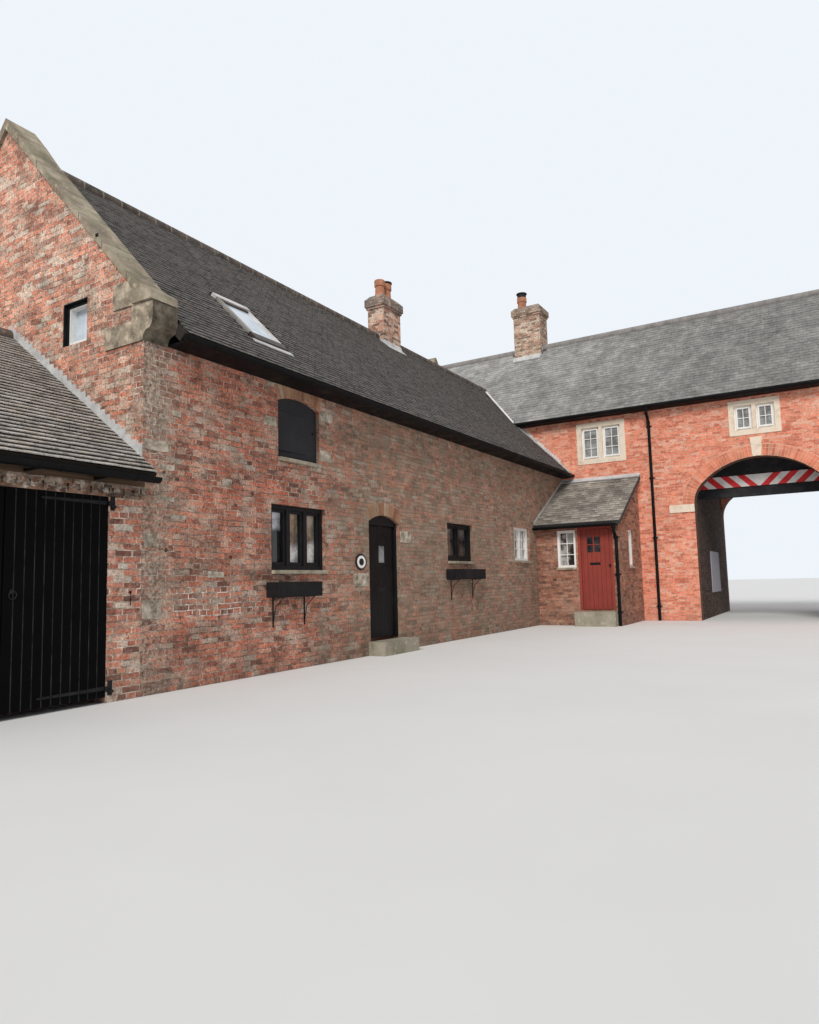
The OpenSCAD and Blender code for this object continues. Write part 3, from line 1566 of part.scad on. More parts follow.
row() porch_door_frame();
row() porch_door();
row() door_steps();
row() hinge_pintles();
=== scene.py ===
"""A brick farm range with a gatehouse arch, a garage wing and a porch, dressed piece by piece on its solids."""

import random
from math import asin, atan2, ceil, cos, pi, radians, sin, tan

import bmesh
import bpy
from mathutils import Matrix, Vector


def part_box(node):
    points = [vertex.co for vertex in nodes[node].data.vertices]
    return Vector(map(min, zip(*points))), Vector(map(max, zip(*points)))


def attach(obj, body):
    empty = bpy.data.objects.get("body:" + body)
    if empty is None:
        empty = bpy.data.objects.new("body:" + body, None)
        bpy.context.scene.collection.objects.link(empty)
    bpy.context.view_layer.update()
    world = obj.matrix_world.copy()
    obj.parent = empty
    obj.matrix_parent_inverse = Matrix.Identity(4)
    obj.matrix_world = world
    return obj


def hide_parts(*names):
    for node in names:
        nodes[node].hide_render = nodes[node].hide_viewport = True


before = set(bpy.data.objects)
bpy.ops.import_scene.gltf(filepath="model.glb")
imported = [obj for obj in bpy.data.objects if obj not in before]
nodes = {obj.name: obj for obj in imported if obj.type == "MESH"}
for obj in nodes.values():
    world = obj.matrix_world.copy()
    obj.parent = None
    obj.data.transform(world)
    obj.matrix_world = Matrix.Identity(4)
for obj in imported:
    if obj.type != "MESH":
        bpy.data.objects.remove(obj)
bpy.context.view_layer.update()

# Camera, light and floor. The range is seen from low down, close to the garage, with a wide lens.
# Soft daylight comes from the left over the gable. The floor is a plain pale stage.
scene = bpy.context.scene
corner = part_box("main_gable_wall")[0].copy()      # the near foot of the gable, where setting out begins
corner.z = 0.0


def spot(x, y, z):
    """A place on the building, measured from the near corner of the gable."""
    return corner + Vector((x, y, z))


def show(name, data):
    """Puts an object into the scene."""
    thing = bpy.data.objects.new(name, data)
    scene.collection.objects.link(thing)
    return thing


yaw, pitch, roll = radians(31.032), radians(5.683), radians(-1.444)
ahead = Vector((cos(yaw) * cos(pitch), sin(yaw) * cos(pitch), sin(pitch)))
level = Vector((sin(yaw), -cos(yaw), 0.0))
upright = level.cross(ahead)
across = cos(roll) * level + sin(roll) * upright
upward = -sin(roll) * level + cos(roll) * upright
eye = bpy.data.cameras.new("wide_view")
eye.lens, eye.sensor_width, eye.clip_end = 24.85, 36.0, 400.0
scene.camera = show("wide_view", eye)
scene.camera.matrix_world = (Matrix.Translation(spot(-5.161, -6.582, 1.163))
                             @ Matrix((across, upward, -ahead)).transposed().to_4x4())
scene.view_settings.view_transform = "Standard"

daylight = bpy.data.lights.new("soft_sun", "SUN")
daylight.energy, daylight.angle, daylight.color = 1.95, radians(20), (1.0, 0.965, 0.92)
show("soft_sun", daylight).rotation_euler = Vector((-0.761, -0.204, 0.616)).to_track_quat("Z", "Y").to_euler()

sky = bpy.data.worlds.new("pale_sky")
sky.use_nodes = True
scene.world = sky
sky_nodes, sky_links = sky.node_tree.nodes, sky.node_tree.links
seen, shed = sky_nodes["Background"], sky_nodes.new("ShaderNodeBackground")
for light, colour, strength in ((seen, (0.86, 0.91, 0.96, 1), 1.0), (shed, (0.93, 0.96, 1.0, 1), 0.55)):
    light.inputs["Color"].default_value = colour
    light.inputs["Strength"].default_value = strength
ray, blend = sky_nodes.new("ShaderNodeLightPath"), sky_nodes.new("ShaderNodeMixShader")
either, any_of = sky_nodes.new("ShaderNodeMath"), sky_nodes.new("ShaderNodeMath")
either.operation = any_of.operation = "MAXIMUM"
for given, taken in ((ray.outputs["Is Camera Ray"], either.inputs[0]),
                     (ray.outputs["Is Glossy Ray"], either.inputs[1]), (either.outputs[0], any_of.inputs[0]),
                     (ray.outputs["Is Transmission Ray"], any_of.inputs[1]),
                     (any_of.outputs[0], blend.inputs["Fac"]), (shed.outputs[0], blend.inputs[1]),
                     (seen.outputs[0], blend.inputs[2]),
                     (blend.outputs[0], sky_nodes["World Output"].inputs["Surface"])):
    sky_links.new(given, taken)


class Signal:
    """What a node of a finish gives out. Reckoning with it as with a number adds one node for each sum."""

    def __init__(self, coat, socket):
        self.coat, self.socket = coat, socket

    def __add__(self, other):
        return self.coat.sum("ADD", self, other)

    def __sub__(self, other):
        return self.coat.sum("SUBTRACT", self, other)

    def __rsub__(self, other):
        return self.coat.sum("SUBTRACT", other, self)

    def __mul__(self, other):
        return self.coat.sum("MULTIPLY", self, other)

    def __truediv__(self, other):
        return self.coat.sum("DIVIDE", self, other)

    def __gt__(self, other):
        return self.coat.sum("GREATER_THAN", self, other)

    def __lt__(self, other):
        return self.coat.sum("LESS_THAN", self, other)

    def __abs__(self):
        return self.coat.sum("ABSOLUTE", self)

    def from_middle(self, pitch, start=0.0):
        """How far it is from the middle of its bay, as a share of the pitch."""
        return abs(self.coat.sum("FRACT", (self - start) / pitch) - 0.5)


class Finish:
    """A finish for one kind of surface, mixed node by node on object coordinates."""

    def __init__(self, name, roughness=0.8, **sockets):
        self.material = bpy.data.materials.new(name)
        self.material.use_nodes = True
        self.nodes, self.links = self.material.node_tree.nodes, self.material.node_tree.links
        self.shader = self.nodes["Principled BSDF"]
        for label, value in {"Roughness": roughness, "Specular_IOR_Level": 0.22, **sockets}.items():
            self.shader.inputs[label.replace("_", " ")].default_value = value
        self.place = self.put("TexCoord", out="Object")

    def feed(self, socket, value):
        """Gives a socket a signal or a fixed value."""
        if isinstance(value, Signal):
            self.links.new(value.socket, socket)
        elif isinstance(value, tuple) and socket.type == "RGBA" and len(value) == 3:
            socket.default_value = (*value, 1.0)
        else:
            socket.default_value = value

    def put(self, kind, *values, out=0, **named):
        """Adds a node. Words with a capital are its sockets, the others its settings. Out is one output or more."""
        made = self.nodes.new("ShaderNode" + kind)
        for label, value in named.items():
            if not label[0].isupper():
                setattr(made, label, value)
        for label, value in named.items():
            if label[0].isupper():
                self.feed(made.inputs[label.replace("_", " ")], value)
        for socket, value in zip(made.inputs, values):
            if value is not None:
                self.feed(socket, value)
        if isinstance(out, tuple):
            return [Signal(self, made.outputs[one]) for one in out]
        return Signal(self, made.outputs[out])

    def sum(self, how, a, b=0.5, c=None):
        return self.put("Math", a, b, c, operation=how)

    def split(self, vector):
        return self.put("SeparateXYZ", vector, out=(0, 1, 2))

    def facing(self):
        """The three parts of the way a face looks."""
        return self.split(self.put("NewGeometry", out="True Normal"))

    def mix(self, low, high, amount, how="MIX"):
        made = self.nodes.new("ShaderNodeMix")
        made.data_type, made.blend_type = "RGBA", how
        for slot, value in ((0, amount), (6, low), (7, high)):
            self.feed(made.inputs[slot], value)
        return Signal(self, made.outputs[2])

    def dull(self, colour, by, amount=1.0):
        return self.mix(colour, by, amount, "MULTIPLY")

    def ramp(self, value, *stops):
        made = self.nodes.new("ShaderNodeValToRGB")
        marks = made.color_ramp.elements
        while len(marks) < len(stops):
            marks.new(1.0)
        for mark, (where, colour) in zip(marks, stops):
            mark.position = where
            mark.color = (colour,) * 3 + (1,) if isinstance(colour, float) else (*colour, 1)
        self.feed(made.inputs[0], value)
        return Signal(self, made.outputs[0])

    def grain(self, scale, detail=3.0, rough=0.6):
        return self.put("TexNoise", Vector=self.place, Scale=scale, Detail=detail, Roughness=rough)

    def patchy(self, scale, detail, rough, *stops):
        """Noise, and the stops that its value runs through."""
        return self.ramp(self.grain(scale, detail, rough), *stops)

    def paint(self, colour, height=None, deep=0.004, rough=None):
        """Sends the mixed colour, relief and roughness to the shader."""
        self.feed(self.shader.inputs["Base Color"], colour)
        if height is not None:
            self.feed(self.shader.inputs["Normal"], self.put("Bump", Height=height, Distance=deep, Strength=1.0))
        if rough is not None:
            self.feed(self.shader.inputs["Roughness"], rough)
        return self.material


def mottled(name, roughness, tones, bump=None, deep=0.004, **sockets):
    """A finish of patchy tones, with finer noise for its relief."""
    coat = Finish(name, roughness, **sockets)
    return coat.paint(coat.patchy(*tones), bump and coat.grain(*bump), deep)


ground = bpy.data.meshes.new("floor")
ground.from_pydata([spot(x, y, -0.002) for x, y in ((-140, -140), (160, -140), (160, 160), (-140, 160))], [],
                   [(0, 1, 2, 3)])
ground.materials.append(mottled("pale_floor", 0.9, (0.4, 3.0, 0.6, (0.3, (0.78, 0.78, 0.77)),
                                                    (0.7, (0.82, 0.82, 0.81)))))
show("floor", ground)


# Main walls. Solid brick laid in garden wall bond, old soft bricks from dark brown through red to buff,
# with wide buff joints of lime mortar. The front is browner and greyer high up, redder by the corner.
brick_long, course = 0.225, 0.069


def dress(finish, *names):
    """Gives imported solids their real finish."""
    for name in names:
        held = nodes[name].data.materials
        held.clear()
        held.append(finish)


def wall_face(coat, joint, wobble, header_rows=4):
    """Bricks on a wall: gives each brick's chance value, the mask of the joints, the three axes, a mask of the faces
    that look along the building, and how near each place is to a bed joint."""
    coat.place = coat.put("VectorMath", coat.place, tuple(-v for v in corner), operation="ADD")
    x, y, z = coat.split(coat.place)
    aside, _, above = coat.facing()
    to_side = abs(aside) > 0.6
    along = coat.put("Mix", to_side, None, x, y)
    height = coat.put("Mix", abs(above) > 0.75, None, z, y)
    sway = coat.put("TexNoise", Vector=coat.place, Scale=2.3, Detail=4.0, Roughness=0.62, out="Color")
    sway = coat.put("VectorMath", sway, (0.5, 0.5, 0.5), operation="SUBTRACT")
    sway = coat.put("VectorMath", sway, Scale=wobble * 4, operation="SCALE")
    flat = coat.put("VectorMath", coat.put("CombineXYZ", along, height, 0.0), sway, operation="ADD")
    chance, mask = coat.put("TexBrick", Vector=flat, Color1=(0, 0, 0), Color2=(1, 1, 1), Mortar=(0.5, 0.5, 0.5),
                            Scale=1.0, Mortar_Size=joint / 2, Mortar_Smooth=0.25, Bias=0.0, Brick_Width=brick_long,
                            Row_Height=course, offset=0.5, squash=0.5, squash_frequency=header_rows,
                            out=("Color", "Fac"))
    return chance, mask, (x, y, z), to_side, coat.split(flat)[1].from_middle(course)


def brickwork(name, bricks, mortar, washes=(), stain=0.30, joint=0.013, pale=(0.66, 0.54, 0.43), pale_share=0.30,
              hot=None, wear=0.4, stone=(0.42, 0.37, 0.30), side=None, patches=(), passage_shade=None):
    """Old brickwork. Chance picks each brick's colour. A wash is a colour that comes in along an axis, from one
    place to another, broken up by noise. Hot bricks are brighter patches; wear brings in rubbed grey patches, and
    pits, open joints and bed joint lines darkened with painted shade. Side gives the gable its own brighter bricks,
    mortar, smears and hot colour, partly as painted light on the lit gable. A patch is a place on the front, its
    reach across and up, the colour its bricks or its joints take, and its share. Passage shade is painted shade
    that dulls the faces that don't look along the building, between two places along y."""
    coat = Finish(name, 0.92)
    chance, mask, axes, to_side, bed = wall_face(coat, joint, 0.006 + 0.008 * wear)
    pick = chance * 0.90 + (coat.grain(10.0, 4.0, 0.7) - 0.45) * 0.9
    body = coat.ramp(pick, *bricks)
    bright = hot[0] if hot else bricks[2][1]
    # Painted light: faces of the gable take a brighter copy of the brick, mortar, smears and hot colour, partly for
    # the light falling on the gable.
    if side:
        lit_gable = to_side * (axes[0] < 0.4)
        body = coat.mix(body, coat.ramp(pick, *side[0]), lit_gable)
        mortar, pale, bright = [coat.mix(*pair, lit_gable) for pair in zip((mortar, pale, bright), side[1:])]
    if hot:
        body = coat.mix(body, bright, coat.patchy(1.15, 3.0, 0.7, (0.52, 0.0), (0.66, hot[1])))
    near = {"bricks": [], "joints": []}
    for kind, x0, z0, wide, high, colour, share in patches:
        here = coat.put("CombineXYZ", axes[0] / wide, axes[1] * 3.0, axes[2] / high)
        away = coat.put("VectorMath", here, (x0 / wide, 0.0, z0 / high), operation="DISTANCE", out=1)
        away = away + (coat.grain(3.4, 6.0, 0.75) - 0.5) * 2.2
        near[kind].append((colour, coat.ramp(away, (0.62, share), (0.95, 0.0))))
    for colour, amount in near["bricks"]:
        body = coat.mix(body, coat.mix(colour, body, 0.35), amount)
    grit = coat.grain(70.0, 4.0, 0.75)
    body = coat.dull(body, coat.ramp(grit, (0.30, 0.42), (0.60, 1.22)), 0.4 + 0.5 * wear)
    burnt = coat.patchy(23.0, 3.0, 0.6, (0.53, 0.0), (0.68, 0.45 + 0.3 * wear))
    body = coat.mix(body, coat.mix(body, (0.14, 0.09, 0.07), 0.6), burnt)
    # Painted shade: the pointing darkens in ragged patches, for the shade in open joints.
    joint_shade = coat.patchy(4.4, 5.0, 0.72, (0.50 - 0.06 * wear, 0.0), (0.60 - 0.03 * wear, 1.0))
    pointing = coat.mix(mortar, coat.dull(mortar, (0.40, 0.36, 0.33)), joint_shade)
    for colour, amount in near["joints"]:
        pointing = coat.mix(pointing, colour, amount)
    ragged = mask + (coat.grain(34.0, 4.0, 0.75) - 0.5) * (0.9 + wear)
    edge = coat.ramp(ragged, (0.30, 0.0), (0.62, 1.0))
    face = coat.mix(body, pointing, edge)
    # Painted shade: a dark line runs along the bed joints in patches, for the shade under each course.
    bed_joint_shade = coat.ramp(bed, (0.40, 0.0), (0.47, 1.0)) * coat.patchy(5.2, 5.0, 0.74, (0.47, 0.0), (0.54, 1.1 * wear))
    face = coat.mix(face, (0.085, 0.058, 0.045), bed_joint_shade)
    face = coat.mix(face, pale, coat.patchy(6.5, 6.0, 0.75, (0.54, 0.0), (0.68, pale_share)))
    rubbed = coat.patchy(2.6, 7.0, 0.74, (0.55 - 0.07 * wear, 0.0), (0.66 - 0.04 * wear, 0.85 * wear))
    face = coat.mix(face, coat.mix(stone, coat.dull(stone, (0.45, 0.42, 0.38)), burnt), rubbed)
    face = coat.mix(face, pale, coat.patchy(31.0, 4.0, 0.7, (0.58, 0.0), (0.68, 0.7 * wear)))
    # Pits are darkened with painted shade as well as sunk in the relief.
    pits = coat.patchy(15.0, 4.0, 0.68, (0.58, 0.0), (0.67, 0.9 * wear))
    face = coat.mix(face, (0.07, 0.05, 0.04), pits)
    for tones in ((38.0, 5.0, 0.8, (0.40, 1.0 - 0.45 * wear), (0.58, 1.0 + 0.45 * wear)),
                  (0.62, 5.0, 0.66, (0.36, 1.0 - stain), (0.60, 1.0)),
                  (3.3, 5.0, 0.72, (0.34, 1.0 - 0.5 * wear), (0.62, 1.0 + 0.22 * wear))):
        face = coat.dull(face, coat.patchy(*tones))
    broken, gaps = coat.grain(1.6, 6.0, 0.72), coat.grain(6.0, 5.0, 0.7)
    for colour, axis, start, stop, share in washes:
        reach = axes[axis] + (broken - 0.5) * (abs(stop - start) * 2.4)
        come = coat.put("MapRange", reach, start, stop, 0.0, 1.0)
        come = come * coat.ramp(gaps, (0.40, 0.35 * share), (0.56, share))
        if side and axis == 0:
            come = come * (1.0 - lit_gable)
        if isinstance(colour, list):
            colour = coat.mix(*colour, coat.patchy(17.0, 6.0, 0.85, (0.46, 0.0), (0.54, 1.0)))
        face = coat.mix(face, colour, come)
    # Painted shade: faces in the passage that don't look along the building are dulled nearly to black.
    if passage_shade:
        inside = (axes[1] > passage_shade[0]) * (axes[1] < passage_shade[1])
        face = coat.mix(face, (0.055, 0.042, 0.036), inside * (1.0 - to_side) * 0.85)
    return coat.paint(face, (1.0 - edge) + grit * 0.45 - pits * 0.8, 0.011)


# The gable's bricks are a brighter copy of the front's, partly painted light for the lit gable.
lit_gable_bricks = [(0.16, (0.46, 0.20, 0.14)), (0.30, (0.76, 0.29, 0.19)), (0.48, (0.87, 0.36, 0.235)),
                (0.62, (0.93, 0.42, 0.28)), (0.74, (0.90, 0.53, 0.39)), (0.86, (0.82, 0.65, 0.52))]
front_bricks = [(0.16, (0.25, 0.11, 0.08)), (0.30, (0.50, 0.18, 0.12)), (0.48, (0.66, 0.24, 0.155)),
                (0.64, (0.70, 0.28, 0.18)), (0.76, (0.62, 0.35, 0.25)), (0.88, (0.54, 0.43, 0.35))]
main_brick = brickwork("main_brick", front_bricks, (0.68, 0.50, 0.40), pale=(0.76, 0.62, 0.51), pale_share=0.42,
                       hot=((0.80, 0.22, 0.13), 0.40), stain=0.28, wear=0.75, stone=(0.52, 0.44, 0.35),
                       washes=[((0.262, 0.226, 0.162), 0, 2.6, 4.4, 0.62),
                               ([(0.13, 0.085, 0.062), (0.82, 0.73, 0.60)], 0, 0.56, 0.08, 0.50),
                               ((0.14, 0.10, 0.075), 2, 0.6, 0.0, 0.40)],
                       patches=[("joints", 1.15, 0.98, 0.95, 0.26, (0.95, 0.88, 0.78), 1.0),
                                ("joints", 2.75, 2.55, 0.75, 0.20, (0.90, 0.78, 0.66), 0.8),
                                ("bricks", 2.12, 2.50, 0.30, 0.10, (0.98, 0.22, 0.12), 0.9),
                                ("bricks", 1.50, 3.55, 1.60, 0.50, (0.50, 0.15, 0.085), 0.6),
                                ("bricks", 1.30, 1.95, 1.00, 0.75, (0.62, 0.19, 0.11), 0.4),
                                ("bricks", 0.15, 3.40, 0.34, 0.90, (0.20, 0.115, 0.085), 0.90),
                                ("joints", 0.25, 3.20, 0.22, 1.10, (0.88, 0.76, 0.62), 0.60),
                                ("bricks", 0.28, 1.80, 0.16, 1.20, (0.66, 0.50, 0.37), 0.40),
                                ("bricks", 0.30, 1.20, 0.40, 0.30, (0.30, 0.17, 0.12), 0.80),
                                ("joints", 0.26, 1.70, 0.22, 1.20, (0.86, 0.74, 0.60), 0.55),
                                ("bricks", 0.85, 1.60, 0.35, 0.40, (0.40, 0.24, 0.17), 0.50),
                                ("bricks", 6.40, 1.40, 1.30, 0.90, (0.19, 0.11, 0.08), 0.5)],
                       side=(lit_gable_bricks, (0.94, 0.76, 0.63), (0.96, 0.83, 0.70), (0.95, 0.35, 0.20)))
dress(main_brick, "main_gable_wall", "main_front_walls", "main_wall_over_door", "main_rear_wall")


# Brick arches and odd stones. Rubbed bricks on edge turn over the front door and the loft shutter, and a few
# blocks of re-used stone are bonded into the brickwork. They stand a few millimetres proud of the wall.
def circle(radius, sides):
    return [(radius * cos(2 * pi * k / sides), radius * sin(2 * pi * k / sides)) for k in range(sides)]


def as_mesh(name, work):
    """Turns the work into a mesh, and lets the work go."""
    made = bpy.data.meshes.new(name)
    work.to_mesh(made)
    work.free()
    return made


class Piece:
    """A piece in the making. Solids are added one by one, in measures from the near corner of the gable. Then it is
    finished and fixed."""

    def __init__(self, name):
        self.name, self.mesh = name, bmesh.new()

    def solid(self, places, faces):
        corners = [self.mesh.verts.new(place) for place in places]
        for face in faces:
            self.mesh.faces.new([corners[i] for i in face])

    def block(self, low, high):
        """A box between two corners."""
        (x0, y0, z0), (x1, y1, z1) = spot(*low), spot(*high)
        self.solid([(x0, y0, z0), (x1, y0, z0), (x1, y1, z0), (x0, y1, z0),
                    (x0, y0, z1), (x1, y0, z1), (x1, y1, z1), (x0, y1, z1)],
                   [(3, 2, 1, 0), (4, 5, 6, 7), (0, 1, 5, 4), (1, 2, 6, 5), (2, 3, 7, 6), (3, 0, 4, 7)])

    def prism(self, outline, run):
        """An outline of points in space, carried along the run."""
        count, foot = len(outline), [spot(*point) for point in outline]
        faces = [tuple(range(count - 1, -1, -1)), tuple(range(count, 2 * count))]
        faces += [(i, (i + 1) % count, count + (i + 1) % count, count + i) for i in range(count)]
        self.solid(foot + [place + Vector(run) for place in foot], faces)

    def tube(self, rings, closed=False):
        """Rings of real places joined into a tube. A closed one comes back to its first ring, the other is capped."""
        rings = [[self.mesh.verts.new(place) for place in ring] for ring in rings]
        for low, high in zip(rings, rings[1:] + (rings[:1] if closed else [])):
            for face in zip(low, low[1:] + low[:1], high[1:] + high[:1], high):
                self.mesh.faces.new(face)
        if not closed:
            self.mesh.faces.new(rings[0][::-1])
            self.mesh.faces.new(rings[-1])

    def rod(self, path, radius, sides=12):
        """A round bar along a path of points."""
        path, rings = [spot(*point) for point in path], []
        for i, point in enumerate(path):
            way = (path[min(i + 1, len(path) - 1)] - path[max(i - 1, 0)]).normalized()
            turn = way.to_track_quat("Z", "Y")
            rings.append([point + turn @ Vector((a, b, 0)) for a, b in circle(radius, sides)])
        self.tube(rings)

    def stud(self, x, z, depths, radius, sides=8):
        """A round head on the wall, with a ring at each depth."""
        self.rod([(x, y, z) for y in depths], radius, sides)

    def done(self, finish, slot, body="building", arris=0.0, rounds=1, smooth=False, node=None):
        """Eases the arrises, turns every face outwards, gives the finish and fixes the piece."""
        bmesh.ops.recalc_face_normals(self.mesh, faces=self.mesh.faces)
        if arris:
            sharp = [e for e in self.mesh.edges if len(e.link_faces) == 2 and e.calc_face_angle() > radians(30)]
            bmesh.ops.bevel(self.mesh, geom=sharp, offset=arris, segments=rounds, affect="EDGES",
                            clamp_overlap=True)
        fix(self.name, as_mesh(self.name, self.mesh), finish, body, smooth, node)


def fix(name, mesh, finish, body="building", smooth=False, node=None):
    """Links a finished mesh as a piece, and says what it rides on and what it stands for."""
    mesh.materials.clear()
    mesh.materials.append(finish)
    for face in mesh.polygons:
        face.use_smooth = smooth
        face.material_index = 0
    if smooth:
        mesh.set_sharp_from_angle(angle=radians(35))
    thing = show(name, mesh)
    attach(thing, body)
    if node:
        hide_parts(node)


def laying_tree():
    """Geometry nodes that lay one shaped unit on every bed, each a little out of true and with its own shade."""
    tree = bpy.data.node_groups.new("lay_units_on_beds", "GeometryNodeTree")
    for way, kind, *labels in (("INPUT", "Geometry", "Beds"), ("INPUT", "Object", "Unit"),
                               ("INPUT", "Float", "Sway", "Tilt", "Slip"), ("INPUT", "Int", "Seed"),
                               ("INPUT", "Material", "Finish"), ("OUTPUT", "Geometry", "Laid")):
        for label in labels:
            tree.interface.new_socket(label, in_out=way, socket_type="NodeSocket" + kind)

    def add(kind, given=None, **settings):
        """Adds a node with its settings, and feeds the sockets it is given values or links for."""
        made = tree.nodes.new(kind)
        for label, value in settings.items():
            setattr(made, label, value)
        for slot, value in (given or {}).items():
            if isinstance(value, bpy.types.NodeSocket):
                tree.links.new(value, made.inputs[slot])
            else:
                made.inputs[slot].default_value = value
        return made.outputs

    def chance(given):
        return add("FunctionNodeRandomValue", given, data_type="FLOAT")[1]

    asked = add("NodeGroupInput")
    seed = asked["Seed"]
    unit = add("GeometryNodeObjectInfo", {"Object": asked["Unit"]})
    turn = add("GeometryNodeInputNamedAttribute", {"Name": "turn"}, data_type="FLOAT_VECTOR")
    laid = add("GeometryNodeInstanceOnPoints", {"Points": asked["Beds"], "Instance": unit["Geometry"],
                                                "Rotation": turn["Attribute"]})
    angles = {}
    for slot, label in enumerate(("Tilt", "Tilt", "Sway")):
        below = add("ShaderNodeMath", {0: asked[label], 1: -1.0}, operation="MULTIPLY")
        own_seed = add("ShaderNodeMath", {0: seed, 1: slot + 1}, operation="ADD")
        angles[slot] = chance({2: below[0], 3: asked[label], "Seed": own_seed[0]})
    turned = add("GeometryNodeRotateInstances", {0: laid[0], "Rotation": add("ShaderNodeCombineXYZ", angles)[0]})
    slip = add("ShaderNodeCombineXYZ", {1: chance({3: asked["Slip"], "Seed": seed})})
    moved = add("GeometryNodeTranslateInstances", {0: turned[0], "Translation": slip[0]})
    kept = add("GeometryNodeStoreNamedAttribute",
               {"Name": "shade", "Geometry": moved[0], "Value": chance({"Seed": seed})},
               data_type="FLOAT", domain="INSTANCE")
    real = add("GeometryNodeRealizeInstances", {0: kept[0]})
    coated = add("GeometryNodeSetMaterial", {"Geometry": real[0], "Material": asked["Finish"]})
    add("NodeGroupOutput", {0: coated[0]})
    return tree


laying = laying_tree()


def lay(name, unit, beds, finish, slot, seed, sway=0.0, tilt=0.0, slip=0.0):
    """Lays the unit on the beds, a list of places and turns, and fixes the result as one plain mesh."""
    pattern = bpy.data.meshes.new(name + "_beds")
    pattern.from_pydata([place for place, _ in beds], [], [])
    turns = pattern.attributes.new("turn", "FLOAT_VECTOR", "POINT")
    turns.data.foreach_set("vector", [v for _, turn in beds for v in turn])
    former, layer = show(name + "_former", unit), show(name + "_layer", pattern)
    work = layer.modifiers.new("lay", "NODES")
    work.node_group = laying
    given = {"Unit": former, "Sway": sway, "Tilt": tilt, "Slip": slip, "Seed": seed, "Finish": finish}
    for item in laying.interface.items_tree:
        if item.item_type == "SOCKET" and item.in_out == "INPUT" and item.name in given:
            work[item.identifier] = given[item.name]
    layer.update_tag()
    bpy.context.view_layer.update()
    mesh = bpy.data.meshes.new_from_object(layer.evaluated_get(bpy.context.evaluated_depsgraph_get()))
    mesh.name = name
    layer.modifiers.remove(work)
    bpy.data.objects.remove(layer)
    bpy.data.objects.remove(former)
    fix(name, mesh, finish)


def brick_unit(name, foot, head, depth, out=0.004, ease=0.004):
    """One arch brick: foot and head are its widths below and above, depth its length, out how far it stands."""
    unit = bmesh.new()
    rim = [(-foot / 2, 0.0), (foot / 2, 0.0), (head / 2, depth), (-head / 2, depth)]
    low = [unit.verts.new((x, y, -0.004)) for x, y in rim]
    high = [unit.verts.new((x, y, out)) for x, y in rim]
    unit.faces.new(low[::-1])
    unit.faces.new(high)
    for i in range(4):
        unit.faces.new([low[i], low[(i + 1) % 4], high[(i + 1) % 4], high[i]])
    top = [e for e in unit.edges if all(v.co.z > 0 for v in e.verts)]
    bmesh.ops.bevel(unit, geom=top, offset=ease, segments=1, affect="EDGES")
    return as_mesh(name, unit)


def shaded_brick(name, *shades):
    """Brick whose colour follows the shade of each laid unit."""
    coat = Finish(name, 0.9)
    own = coat.put("Attribute", attribute_name="shade", out="Fac")
    grit = coat.grain(60.0, 4.0, 0.7)
    body = coat.dull(coat.ramp(own, *shades), coat.ramp(grit, (0.30, 0.5), (0.65, 1.0)), 0.5)
    return coat.paint(coat.dull(body, coat.patchy(1.9, 5.0, 0.65, (0.38, 0.62), (0.62, 1.0))), grit, 0.003)


def arch_beds(centre, along, out, radius, start, stop, count):
    """Beds turned round a centre: along is the wall's direction, out the way the wall faces."""
    beds = []
    for i in range(count):
        angle = start + (stop - start) * (i + 0.5) / count
        ray = along * sin(angle) + Vector((0, 0, 1)) * cos(angle)
        beds.append((centre + ray * radius, Matrix((ray.cross(out), ray, out)).transposed().to_euler()))
    return beds


along_x, along_y, front_out = Vector((1, 0, 0)), Vector((0, 1, 0)), Vector((0, -1, 0))
arch_brick = shaded_brick("arch_brick", (0.0, (0.30, 0.14, 0.09)), (0.4, (0.50, 0.25, 0.15)),
                          (0.8, (0.60, 0.36, 0.22)), (1.0, (0.56, 0.44, 0.32)))
arch_deep, arch_pitch, arch_joint = 0.215, 0.071, 0.009
for label, left, right, spring, rise, seed in (("door_arch", 4.46, 5.40, 2.19, 0.12, 3),
                                               ("shutter_arch", 2.26, 3.18, 3.77, 0.095, 5)):
    half = (right - left) / 2
    radius = (half ** 2 + rise ** 2) / (2 * rise)
    turn = asin(half / radius)
    count = round(2 * turn * radius / arch_pitch)
    foot = 2 * turn * radius / count - arch_joint
    unit = brick_unit(label + "_brick", foot, foot * (radius + arch_deep) / radius, arch_deep)
    beds = arch_beds(spot((left + right) / 2, 0, spring + rise - radius), along_x, front_out, radius, -turn, turn,
                     count)
    lay(label, unit, beds, arch_brick, "brick_main", seed, sway=0.01)

